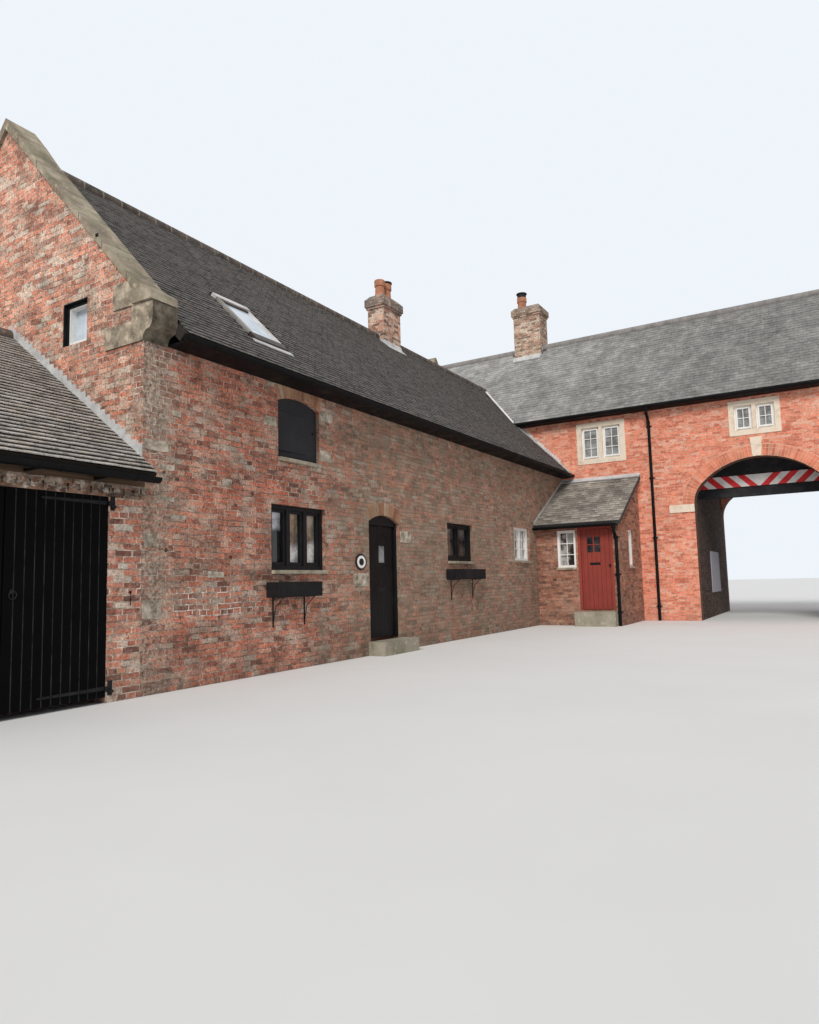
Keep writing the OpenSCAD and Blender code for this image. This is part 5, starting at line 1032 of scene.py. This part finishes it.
window_white = painted("casement_white", (0.93, 0.92, 0.89), (0.60, 0.56, 0.50))
dress(window_white, "white_window_frames")
# Painted reflection: the pale patches of these panes stand for the light outside, the dark ones for a dim room.
dress(mottled("window_pane", 0.03, (3.1, 3.0, 0.6, (0.42, (0.030, 0.030, 0.032)), (0.50, (0.19, 0.165, 0.14)),
                                    (0.58, (0.50, 0.49, 0.48))), (3.0, 1.0), 0.0004,
              Specular_IOR_Level=0.5, Transmission_Weight=0.20, IOR=1.46), "window_glass")


def reflecting_pane(name, scale, dim, bright):
    """Old glass with a painted reflection of the light outside."""
    return mottled(name, 0.06, (scale, 3.0, 0.6, (0.38, dim), (0.62, bright)), (3.5, 1.0), 0.0004,
                   Specular_IOR_Level=0.5)


# Painted reflections: the sky and the grey daylight outside, held in the glass.
sky_reflection_pane = reflecting_pane("sky_reflection_pane", 2.4, (0.46, 0.53, 0.60), (0.66, 0.74, 0.82))
grey_reflection_pane = reflecting_pane("grey_reflection_pane", 3.4, (0.13, 0.125, 0.115), (0.36, 0.37, 0.37))


def bars(work, low, high, columns, rows, depth, axis, wide=0.018):
    """Glazing bars in one light: axis 0 is a light that faces along x, axis 1 along y."""
    (u0, z0), (u1, z1), (near, far) = low, high, depth

    def bar(ua, za, ub, zb, sunk):
        ends = ((near + sunk, ua, za), (far - sunk, ub, zb))
        work.block(*(ends if axis == 0 else [(u, y, z) for y, u, z in ends]))

    for i in range(1, columns):
        u = u0 + (u1 - u0) * i / columns
        bar(u - wide / 2, z0, u + wide / 2, z1, 0.0)
    for j in range(1, rows):
        z = z0 + (z1 - z0) * j / rows
        bar(u0, z - wide / 2, u1, z + wide / 2, 0.001)


# The gatehouse lights in turn: their sides, their foot, the head of their sashes and their rows of panes.
gate_lights = [(start + a, start + b, foot, head, rows)
               for start, foot, lights, head, rows in ((-1.84, 4.34, ((0.13, 0.63), (0.72, 1.22)), 5.326, 3),
                                                       (-9.61, 4.34, ((0.13, 0.63), (0.72, 1.22)), 5.326, 3),
                                                       (-5.64, 4.65, ((0.13, 0.545), (0.635, 1.05)), 5.366, 2))
               for a, b in lights]
glazing, rail = Piece("glazing_bars"), 0.034
for a, b, foot, head, rows in gate_lights:
    bars(glazing, (a + 0.045, foot + 0.175), (b - 0.045, head - 0.001), 2, rows, (14.33, 14.36), 0)
bars(glazing, (-0.975, 1.475), (-0.585, 2.315), 2, 3, (12.14, 12.17), 0)
bars(glazing, (-8.60, 1.40), (-7.80, 2.30), 4, 3, (14.38, 14.41), 0)
for x0, x1 in ((10.66, 11.06), (11.12, 11.52)):
    bars(glazing, (x0, 1.68), (x1, 2.37), 2, 3, (0.10, 0.13), 1)
bars(glazing, (13.06, 1.475), (13.40, 2.315), 2, 3, (-2.02, -1.99), 1)
for a, b, foot, head, _ in gate_lights:
    a, b, foot = a + 0.044, b - 0.044, foot + 0.174
    for low, high in (((a, foot), (a + rail, head)), ((b - rail, foot), (b, head)),
                      ((a + rail, foot), (b - rail, foot + 0.040)), ((a + rail, head - rail), (b - rail, head))):
        glazing.block((14.322, *low), (14.361, *high))
glazing.done(window_white, "white_paint", arris=0.003)
sashes, mullion = Piece("black_sashes"), 0.06
for x0, z0, z1, count, wide in ((2.11, 1.375, 2.290, 3, 1.19), (7.21, 1.565, 2.330, 2, 1.14)):
    light = (wide - mullion * (count + 1)) / count
    foot, head = z0 + mullion, z1 - mullion
    for i in range(count):
        a = x0 + mullion + i * (light + mullion)
        b = a + light
        for low, high in (((a, foot), (a + 0.045, head)), ((b - 0.045, foot), (b, head)),
                          ((a + 0.045, z1 - 0.10), (b - 0.045, head)), ((a + 0.045, foot), (b - 0.045, z0 + 0.115))):
            sashes.block((low[0], 0.082, low[1]), (high[0], 0.140, high[1]))
sashes.done(window_black, "black_paint", arris=0.003)


def room_and_reflection_pane(name, low, high, stops):
    """Glass painted with a dim room and with reflections, its tone changing from its foot to its head."""
    coat = Finish(name, 0.06, Specular_IOR_Level=0.5)
    level = coat.put("MapRange", coat.split(coat.place)[2], low, high, 0.0, 1.0)
    level = level + (coat.grain(5.0, 3.0) - 0.5) * 0.16
    tone = coat.dull(coat.ramp(level, *stops), coat.patchy(7.0, 4.0, 0.65, (0.36, 0.45), (0.62, 1.15)))
    return coat.paint(tone, coat.grain(3.0, 1.0), 0.0004)


# Painted room and reflections: each yard pane runs from a dim room to pale reflected light.
for label, x0, x1, z0, z1, stops in (
        ("left", 2.176, 2.45, 1.49, 2.19, ((0.10, (0.035, 0.03, 0.028)), (0.62, (0.02, 0.02, 0.02)),
                                           (0.70, (0.52, 0.52, 0.55)), (0.95, (0.60, 0.60, 0.63)))),
        ("middle", 2.54, 2.87, 1.49, 2.19, ((0.30, (0.82, 0.81, 0.80)), (0.42, (0.22, 0.18, 0.14)),
                                            (0.90, (0.34, 0.265, 0.19)))),
        ("right", 2.93, 3.24, 1.49, 2.19, ((0.36, (0.78, 0.76, 0.72)), (0.48, (0.26, 0.215, 0.17)),
                                           (0.80, (0.42, 0.36, 0.29)))),
        ("far", 7.32, 8.24, 1.68, 2.23, ((0.15, (0.10, 0.085, 0.07)), (0.55, (0.035, 0.03, 0.028)),
                                         (0.90, (0.16, 0.15, 0.145))))):
    dim = Piece(label + "_yard_pane")
    dim.block((x0, 0.1415, z0), (x1, 0.1455, z1))
    dim.done(room_and_reflection_pane(label + "_pane_glass", z0, z1, stops), "glass")
panes = Piece("gatehouse_panes")
for a, b, foot, head, _ in gate_lights:
    panes.block((14.362, a + 0.042, foot + 0.172), (14.366, b - 0.042, head + 0.002))
panes.done(grey_reflection_pane, "glass")
small = Piece("gable_pane")
small.block((0.145, 1.105, 4.255), (0.149, 1.485, 4.695))
small.done(sky_reflection_pane, "glass")
# Painted shade: black boards line the sides and head of the gable window's reveal, for the shade in it.
reveal_shade_boards = Piece("gable_window_lining")
for near, low, high in ((0.004, (1.0505, 4.2005), (1.060, 4.7495)), (0.004, (1.530, 4.2005), (1.5395, 4.7495)),
                        (0.004, (1.060, 4.740), (1.530, 4.7495)), (0.050, (1.060, 4.2005), (1.098, 4.740)),
                        (0.050, (1.492, 4.2005), (1.530, 4.740)), (0.050, (1.098, 4.702), (1.492, 4.740))):
    reveal_shade_boards.block((near, *low), (0.058, *high))
reveal_shade_boards.done(window_black, "black_paint", arris=0.001)
dress(weathered_stone("sill_stone", (0.62, 0.55, 0.44), (0.42, 0.36, 0.28), (0.20, 0.165, 0.125), 0.2, scale=5.0),
      "window_sills")


# Roof window. A pine centre-pivot sash under aluminium covers, brown at its foot. The covers at its head and
# right side are pale with painted light, the cover on its left greyer with painted shade, and a brown strip under
# the head is a painted shadow. A lead apron is dressed over the tiles below it.
dress(mottled("roof_window_cover", 0.35, (7.0, 4.0, 0.6, (0.3, (0.42, 0.42, 0.41)), (0.7, (0.66, 0.66, 0.65))),
              (60.0,), 0.0005, Metallic=0.6), "roof_window")


def on_slope(across, up, out):
    """A place on the main front slope, from the window's lower corner: across it, up the slope and out of it."""
    rise, run = sin(main_pitch), cos(main_pitch)
    return Vector((1.98 + across, 0.21 + up * run - out * rise, 4.615 + up * rise + out * run))


def slope_plate(work, low, high):
    """A flat cover on the slope, with its corners given as across, up and out."""
    (a0, u0, o0), (a1, u1, o1) = low, high
    work.prism([on_slope(a0, u0, o0), on_slope(a1, u0, o0), on_slope(a1, u1, o0), on_slope(a0, u1, o0)],
               on_slope(0, 0, o1) - on_slope(0, 0, o0))


# Painted light and shade: the pale covers are a lit copy of the aluminium, the grey one a copy in shade, and the brown
# one includes a painted shadow under the head.
brown_cover, lit_pale_cover, shaded_grey_cover = [
    mottled(tint + "_window_cover", gloss, (scale, 5.0, 0.7, *stops), (fine,), deep)
    for tint, gloss, scale, stops, fine, deep in (
        ("brown", 0.5, 8.0, ((0.35, (0.030, 0.021, 0.017)), (0.65, (0.085, 0.06, 0.048))), 50.0, 0.0008),
        ("pale", 0.45, 5.0, ((0.32, (0.46, 0.44, 0.42)), (0.66, (0.74, 0.72, 0.70))), 60.0, 0.0006),
        ("grey", 0.6, 3.0, ((0.32, (0.22, 0.20, 0.18)), (0.66, (0.44, 0.41, 0.38))), 60.0, 0.0006))]
for label, coat, slot, arris, rounds, *plates in (
        ("pane", sky_reflection_pane, "glass", 0.0, 1, ((0.07, 0.07, 0.024), (0.61, 1.03, 0.028))),
        ("foot_cover", brown_cover, "roof_window", 0.004, 1, ((-0.006, -0.055, -0.010), (0.686, 0.120, 0.056)),
         ((0.055, 0.98, 0.030), (0.625, 1.045, 0.050))),
        ("side_covers", lit_pale_cover, "roof_window", 0.005, 2, ((0.605, 0.120, -0.006), (0.687, 1.045, 0.049)),
         ((-0.012, 1.045, -0.004), (0.692, 1.16, 0.064))),
        ("left_cover", shaded_grey_cover, "roof_window", 0.005, 2, ((-0.007, 0.120, -0.006), (0.085, 1.045, 0.049)))):
    part = Piece("roof_window_" + label)
    for low, high in plates:
        slope_plate(part, low, high)
    part.done(coat, slot, arris=arris, rounds=rounds)


# Loft shutter and front door. Boarded and painted black. The door hangs in a thick frame with a boarded panel
# under its arch, and the shutter has two short strap hinges on its left, a knob and an iron edge at its foot.
dress(black_coat("shutter_paint", 0.029, 0.6, 0.3), "loft_shutter")
dress(black_coat("front_door_paint", 0.008, 0.32, 0.3, (0, corner.x + 4.526, 0.101)), "front_door")
dress(black_coat("door_frame_paint", 0.009, 0.34, 0.3), "front_door_frame")
irons = Piece("shutter_hinges")
for z in (3.05, 3.66):
    outline = [(2.275, z), (2.56, z + 0.006)]
    bend = [radians(25 * k + 15) for k in range(7)]
    outline += [(2.585 + 0.024 * sin(a), z + 0.018 - 0.024 * cos(a)) for a in bend]
    outline += [(2.56, z + 0.030), (2.275, z + 0.036)]
    irons.prism([(x, 0.053, h) for x, h in outline], (0, 0.008, 0))
    for x in (2.33, 2.43, 2.54):
        irons.stud(x, z + 0.018, (0.054, 0.050, 0.048), 0.007)
irons.block((2.264, 0.050, 2.962), (3.176, 0.062, 3.004))
irons.stud(3.09, 3.42, (0.062, 0.040, 0.034), 0.011, 12)
irons.stud(3.09, 3.42, (0.042, 0.032, 0.024), 0.019, 14)
irons.done(black_iron, "black_iron", arris=0.001)
door_pane = Piece("front_door_pane")
door_pane.block((4.886, 0.113, 1.506), (5.084, 0.117, 1.804))
door_pane.done(grey_reflection_pane, "glass", body="front_door_leaf")
door_iron = Piece("front_door_furniture")
door_iron.block((4.82, 0.0935, 1.02), (5.06, 0.1005, 1.08))
door_iron.block((4.84, 0.0900, 1.032), (5.04, 0.0945, 1.068))
door_iron.done(black_iron, "black_iron", body="front_door_leaf", arris=0.0015)


# Window boxes. Black painted timber troughs under two windows, with dark earth left in them. Each stands on two
# brackets of flat iron with a round stay.
box_earth = mottled("box_earth", 0.95, (16.0, 5.0, 0.7, (0.35, (0.022, 0.016, 0.012)),
                                        (0.65, (0.07, 0.052, 0.04))), (24.0, 5.0, 0.7), 0.012)
troughs, earth = Piece("window_box_troughs"), Piece("window_box_earth")
y0, y1, t = -0.225, -0.015, 0.018
for x0, x1, z0 in ((1.99, 2.93, 1.005), (7.10, 8.46, 1.195)):
    z1 = z0 + 0.21
    troughs.block((x0, y0, z0), (x1, y1, z0 + t))
    for (xa, ya), (xb, yb) in (((x0, y0), (x1, y0 + t)), ((x0, y1 - t), (x1, y1)),
                               ((x0, y0 + t), (x0 + t, y1 - t)), ((x1 - t, y0 + t), (x1, y1 - t))):
        troughs.block((xa, ya, z0 + t), (xb, yb, z1 - 0.004))
    earth.block((x0 + t, y0 + t, z1 - 0.075), (x1 - t, y1 - t, z1 - 0.045))
    for share in (0.15, 0.85):
        x = x0 + (x1 - x0) * share
        for (ya, za), (yb, zb) in (((-0.0065, -0.40), (0.0, 0.06)), ((-0.205, -0.0065), (-0.0065, 0.0)),
                                   ((-0.015, 0.0), (-0.0065, 0.06))):
            troughs.block((x - 0.014, ya, z0 + za), (x + 0.014, yb, z0 + zb))
        troughs.rod([(x, -0.004, z0 - 0.36), (x, -0.05, z0 - 0.13), (x, -0.19, z0 - 0.004)], 0.006, 8)
troughs.done(black_coat("window_box_paint", 0.010, 0.5, 0.7), "black_paint", arris=0.002, node="window_boxes")
earth.done(box_earth, "timber")


# Wall plaque. A small oval plaque of painted iron, fixed flat on the bricks by the front door. A white ring runs
# round its plain black middle, inside a raised black rim.
for part, share, near, out, coat, slot in (("rim", 1.0, -0.0005, -0.016, black_iron, "black_iron"),
                                           ("ring", 0.78, -0.015, -0.004, window_white, "white_paint"),
                                           ("centre", 0.44, -0.018, -0.003, black_iron, "black_iron")):
    plaque = Piece(f"plaque_{part}")
    plaque.prism([(4.21 + 0.15 * a * share, near, 1.51 + 0.13 * b * share) for a, b in circle(1.0, 36)], (0, out, 0))
    plaque.done(coat, slot, arris=0.0012 if part != "rim" else 0.005, rounds=2)


# Chimneys. The main stack is brown brick under a grey-green rendered crown with two clay pots, and the
# gatehouse stack is orange and buff brick with one pot. Both carry lead where they leave the roof.
dress(brickwork("main_stack_brick", [(0.16, (0.30, 0.17, 0.13)), (0.40, (0.86, 0.42, 0.29)),
                                     (0.66, (0.96, 0.56, 0.41)), (0.86, (0.90, 0.70, 0.56))], (0.92, 0.78, 0.64),
                washes=[((0.16, 0.16, 0.145), 2, 7.95, 8.12, 0.88)], wear=0.5, stone=(0.60, 0.52, 0.42)),
      "main_chimney")
dress(brickwork("gate_stack_brick", [(0.16, (0.32, 0.20, 0.15)), (0.36, (0.62, 0.36, 0.25)),
                                     (0.62, (0.78, 0.50, 0.36)), (0.86, (0.78, 0.64, 0.50))], (0.84, 0.72, 0.60),
                washes=[((0.24, 0.20, 0.165), 2, 10.0, 10.15, 0.6)], wear=0.5, stone=(0.66, 0.56, 0.44)),
      "gatehouse_chimney")
dress(mottled("pot_clay", 0.8, (5.0, 5.0, 0.65, (0.32, (0.30, 0.13, 0.08)), (0.60, (0.55, 0.25, 0.15)),
                                (0.78, (0.50, 0.36, 0.26))), (50.0,), 0.002), "chimney_pots")
dress(black_coat("cowl_black", 0.02, 0.5, 1.0), "chimney_cowls")


# Leadwork. Milled sheet dressed in steps and aprons at each junction, turned into the brick joints and weathered
# to a pale patina with darker runs. A bright lead valley lies where the main roof meets the gatehouse slates.
lead = Finish("old_lead", 0.6, Specular_IOR_Level=0.3)
lead_tone = lead.patchy(4.5, 6.0, 0.68, (0.30, (0.40, 0.40, 0.395)), (0.52, (0.60, 0.605, 0.60)),
                        (0.74, (0.76, 0.76, 0.745)))
lead.paint(lead.mix(lead_tone, (0.30, 0.28, 0.25), lead.patchy(15.0, 5.0, 0.7, (0.60, 0.0), (0.72, 0.7))),
           lead.grain(9.0, 4.0, 0.5), 0.006)
sheets, dice = Piece("dressed_lead"), random.Random(37)
porch_pitch, porch_top = radians(29.7), 3.90
clear = 0.0005                                    # how far a sheet lies off what is under it


def stepped(x0, x1, start, stop, foot, pitch, rise=0.088):
    """A flashing that climbs a slope from start to stop, turned into every brick joint above it."""
    way, reach, tread = (1 if stop > start else -1), abs(stop - start), course / tan(pitch)
    outline = [(0.0, clear), (reach, reach * tan(pitch) + clear)]
    for i in range(ceil(reach / tread) - 1, -1, -1):
        a, b = i * tread, min((i + 1) * tread, reach)
        top = b * tan(pitch) + rise + dice.uniform(-0.010, 0.012)
        outline += [(b, top), (a + dice.uniform(0.0, 0.012), top - 0.004)]
    sheets.prism([(x0, start + way * t, foot + h) for t, h in outline], (x1 - x0, 0, 0))


def apron(low, high, fall_to, up, reach, thick=0.006):
    """An apron at the foot of a wall: low and high are the ends of the wall's line on the slope."""
    low, high, down = Vector(low), Vector(high), Vector(fall_to).normalized()
    flat = Vector((down.x, down.y, 0)).normalized()
    out = (high - low).cross(down).normalized()
    out = out if out.z > 0 else -out
    start, above = low + Vector((0, 0, clear)), Vector((0, 0, up))
    sheets.prism([start, start + above, start + above + flat * thick, start + flat * thick + out * 0.036,
                  start + down * reach + out * 0.036, start + down * reach], high - low)


stepped(-0.008, -0.0003, 0.0, 2.75, garage_eave, garage_pitch, 0.125)
stepped(-0.008, -0.0003, 5.75, 2.75, garage_eave - garage_over * tan(garage_pitch), garage_pitch)
stepped(14.292, 14.2997, 0.0, 1.485, main_eave, main_pitch)
for y, z, fall in ((2.675, 7.080, -1), (3.155, 7.110, 1)):
    apron((9.212, y, z), (10.008, y, z), (0, fall, -1), 0.12, 0.20)
for x, z, fall in ((16.76, 8.6015, -1), (17.46, 8.4745, 1)):
    apron((x, 1.342, z), (x, 2.288, z), (fall, 0, -tan(gate_pitch)), 0.035, 0.26)
for x in (9.2125, 10.0):
    sheets.prism([(x, y, z) for y, z in ((2.675, 7.081), (2.93, 7.336), (3.155, 7.111), (3.155, 7.23), (3.04, 7.30),
                                         (3.04, 7.37), (2.93, 7.44), (2.80, 7.37), (2.80, 7.26), (2.675, 7.20))],
                 (0.0075, 0, 0))
for y in (1.3425, 2.28):
    sheets.prism([(x, y, z) for x, z in ((16.76, 8.602), (17.05, 8.909), (17.46, 8.475), (17.46, 8.56), (17.25, 8.70),
                                         (17.25, 8.86), (17.05, 8.98), (16.90, 8.86), (16.90, 8.74), (16.76, 8.68))],
                 (0, 0.0075, 0))
apron((14.2997, -2.18, porch_top), (14.2997, 0.0, porch_top), (-1, 0, -tan(porch_pitch)), 0.06, 0.15)
porch_low = porch_top - (gate_foot_x - 11.94) * tan(porch_pitch)
sheets.prism([(11.94, -0.008, porch_low + clear), (14.29, -0.008, 3.8945), (14.29, -0.008, 3.96),
              (11.94, -0.008, porch_low + 0.075)], (0, 0.0075, 0))
slope_plate(sheets, (-0.06, -0.15, clear), (0.74, -0.0565, 0.0365))
sheets.done(lead.material, "lead", arris=0.0008, node="lead_flashings")

valley, slate_out = Piece("valley_lead"), Vector((-sin(gate_pitch), 0, cos(gate_pitch)))
for turn, side_y in ((1, 1.331), (-1, 4.529)):
    foot = Vector((14.06, side_y + turn * 0.0085, 5.7465))
    run = Vector((15.53, side_y + turn * 1.563, 7.301)) - foot
    aside = run.cross(slate_out).normalized() * 0.056
    aside = aside if aside.y * turn < 0 else -aside
    low, high = foot + slate_out * 0.004, foot + slate_out * 0.034
    valley.prism([low, high, high + aside, low + aside], run)
valley.done(mottled("bright_lead", 0.55, (6.0, 5.0, 0.7, (0.32, (0.66, 0.65, 0.64)), (0.60, (0.86, 0.84, 0.83))),
                    (14.0, 4.0), 0.003, Specular_IOR_Level=0.3), "lead", arris=0.002)
strip = Piece("wall_side_lead")
strip.prism([(x, -0.27, z) for x, z in ((14.06, 4.135), (14.06, 4.180), (14.29, 4.180), (14.29, 4.135))],
            (0, 1.50, 1.50))
strip.done(lead.material, "lead", arris=0.003)


# Porch. A lean-to of the older brick in the inner corner, under small dark slates with a pale lead top edge.
# Its red boarded door has a light of four small panes, a black letter plate and a knob, and stands on a stone step.
dress(brickwork("porch_brick", [(0.1, (0.22, 0.10, 0.07)), (0.3, (0.42, 0.165, 0.105)),
                                (0.6, (0.54, 0.225, 0.145)), (0.9, (0.60, 0.31, 0.21))], (0.48, 0.36, 0.27),
                washes=[((0.16, 0.11, 0.085), 2, 0.7, 0.0, 0.5)]), "porch_front_wall", "porch_side_wall")
porch_slate = roof_covering("porch_slate", (0.0, (0.18, 0.160, 0.140)), (0.5, (0.28, 0.252, 0.22)),
                            (1.0, (0.44, 0.395, 0.34)), tail=(0.50, 0.455, 0.40), moss=(0.50, 0.455, 0.36), joint=0.24,
                            patches=[((0.50, 0.46, 0.40), 4.0, 0.6), ((0.16, 0.13, 0.11), 3.0, 0.6)])
porch_gauge, porch_foot_x = 0.13, 11.88
porch_deep = gate_foot_x - porch_foot_x
beds = slope_beds(spot(porch_foot_x, 0.0, porch_top - porch_deep * tan(porch_pitch)), Vector((0, -1, 0)),
                  Vector((cos(porch_pitch), 0, sin(porch_pitch))), 2.18, porch_deep / cos(porch_pitch) - 0.12, 0.18,
                  porch_gauge, random.Random(29))
lay("porch_slates", tile_unit("porch_slate", 0.176, 0.185, 0.007, 0.0100, porch_gauge, 0.012, 0.016), beds,
    porch_slate, "slate", 71, 0.008, 0.010, 0.004)

door_red = Finish("porch_door_red", 0.38)
board_wide, first_board = 0.109, corner.y - 1.94
groove = door_red.split(door_red.place)[1].from_middle(board_wide, first_board)
groove = door_red.ramp(groove, (0.455, 0.0), (0.49, 1.0))
red = door_red.patchy(3.0, 5.0, 0.7, (0.4, 0.0), (0.7, 0.7))
red = door_red.mix((0.31, 0.058, 0.042), (0.23, 0.047, 0.036), red)
dress(door_red.paint(door_red.mix(red, (0.10, 0.012, 0.012), groove), door_red.grain(60.0) * 0.1 - groove, 0.004),
      "porch_door")
dress(painted("porch_frame_red", (0.33, 0.061, 0.044), (0.21, 0.045, 0.034), 0.42), "porch_door_frame")
door_lights, door_bars = Piece("porch_door_panes"), Piece("porch_door_bars")
for y0, y1 in ((-1.612, -1.463), (-1.437, -1.288)):
    door_lights.block((12.163, y0, 1.788), (12.168, y1, 2.172))
    door_bars.block((12.154, y0 + 0.002, 1.968), (12.162, y1 - 0.002, 1.990))
door_lights.done(reflecting_pane("dark_pane", 4.0, (0.015, 0.016, 0.018), (0.07, 0.072, 0.078)), "glass",
                 body="porch_door_leaf")
door_bars.done(door_red.material, "red_paint", body="porch_door_leaf", arris=0.002)
furniture = Piece("porch_door_furniture")
furniture.block((12.143, -1.60, 1.475), (12.1505, -1.34, 1.535))
furniture.block((12.139, -1.575, 1.488), (12.144, -1.365, 1.522))
for depths, radius, sides in (((12.151, 12.120, 12.112), 0.012, 12), ((12.122, 12.112, 12.100), 0.026, 14)):
    furniture.rod([(x, -1.84, 1.46) for x in depths], radius, sides)
furniture.done(black_iron, "black_iron", body="porch_door_leaf", arris=0.002, smooth=True)


# Passage board. A plain board painted lavender grey, in a narrow frame of the same paint. It is screwed low on
# the near wall of the passage.
notice = Piece("passage_board")
notice.block((16.4, -3.524, 0.70), (17.9, -3.5105, 1.80))
for low, high in (((16.37, 0.67), (17.93, 0.70)), ((16.37, 1.80), (17.93, 1.83)), ((16.37, 0.70), (16.40, 1.80)),
                  ((17.90, 0.70), (17.93, 1.80))):
    notice.block((low[0], -3.530, low[1]), (high[0], -3.5105, high[1]))
notice.done(painted("passage_board_paint", (0.42, 0.40, 0.46), (0.26, 0.25, 0.27), 0.5, 0.6), "board_white",
            arris=0.002)


# Steps. Treads of worn stone, bedded on the ground in front of the two doors. Feet and rain have hollowed and
# stained them.
dress(weathered_stone("step_stone", (0.50, 0.45, 0.37), (0.38, 0.34, 0.27), (0.22, 0.19, 0.15), 0.35), "door_steps")
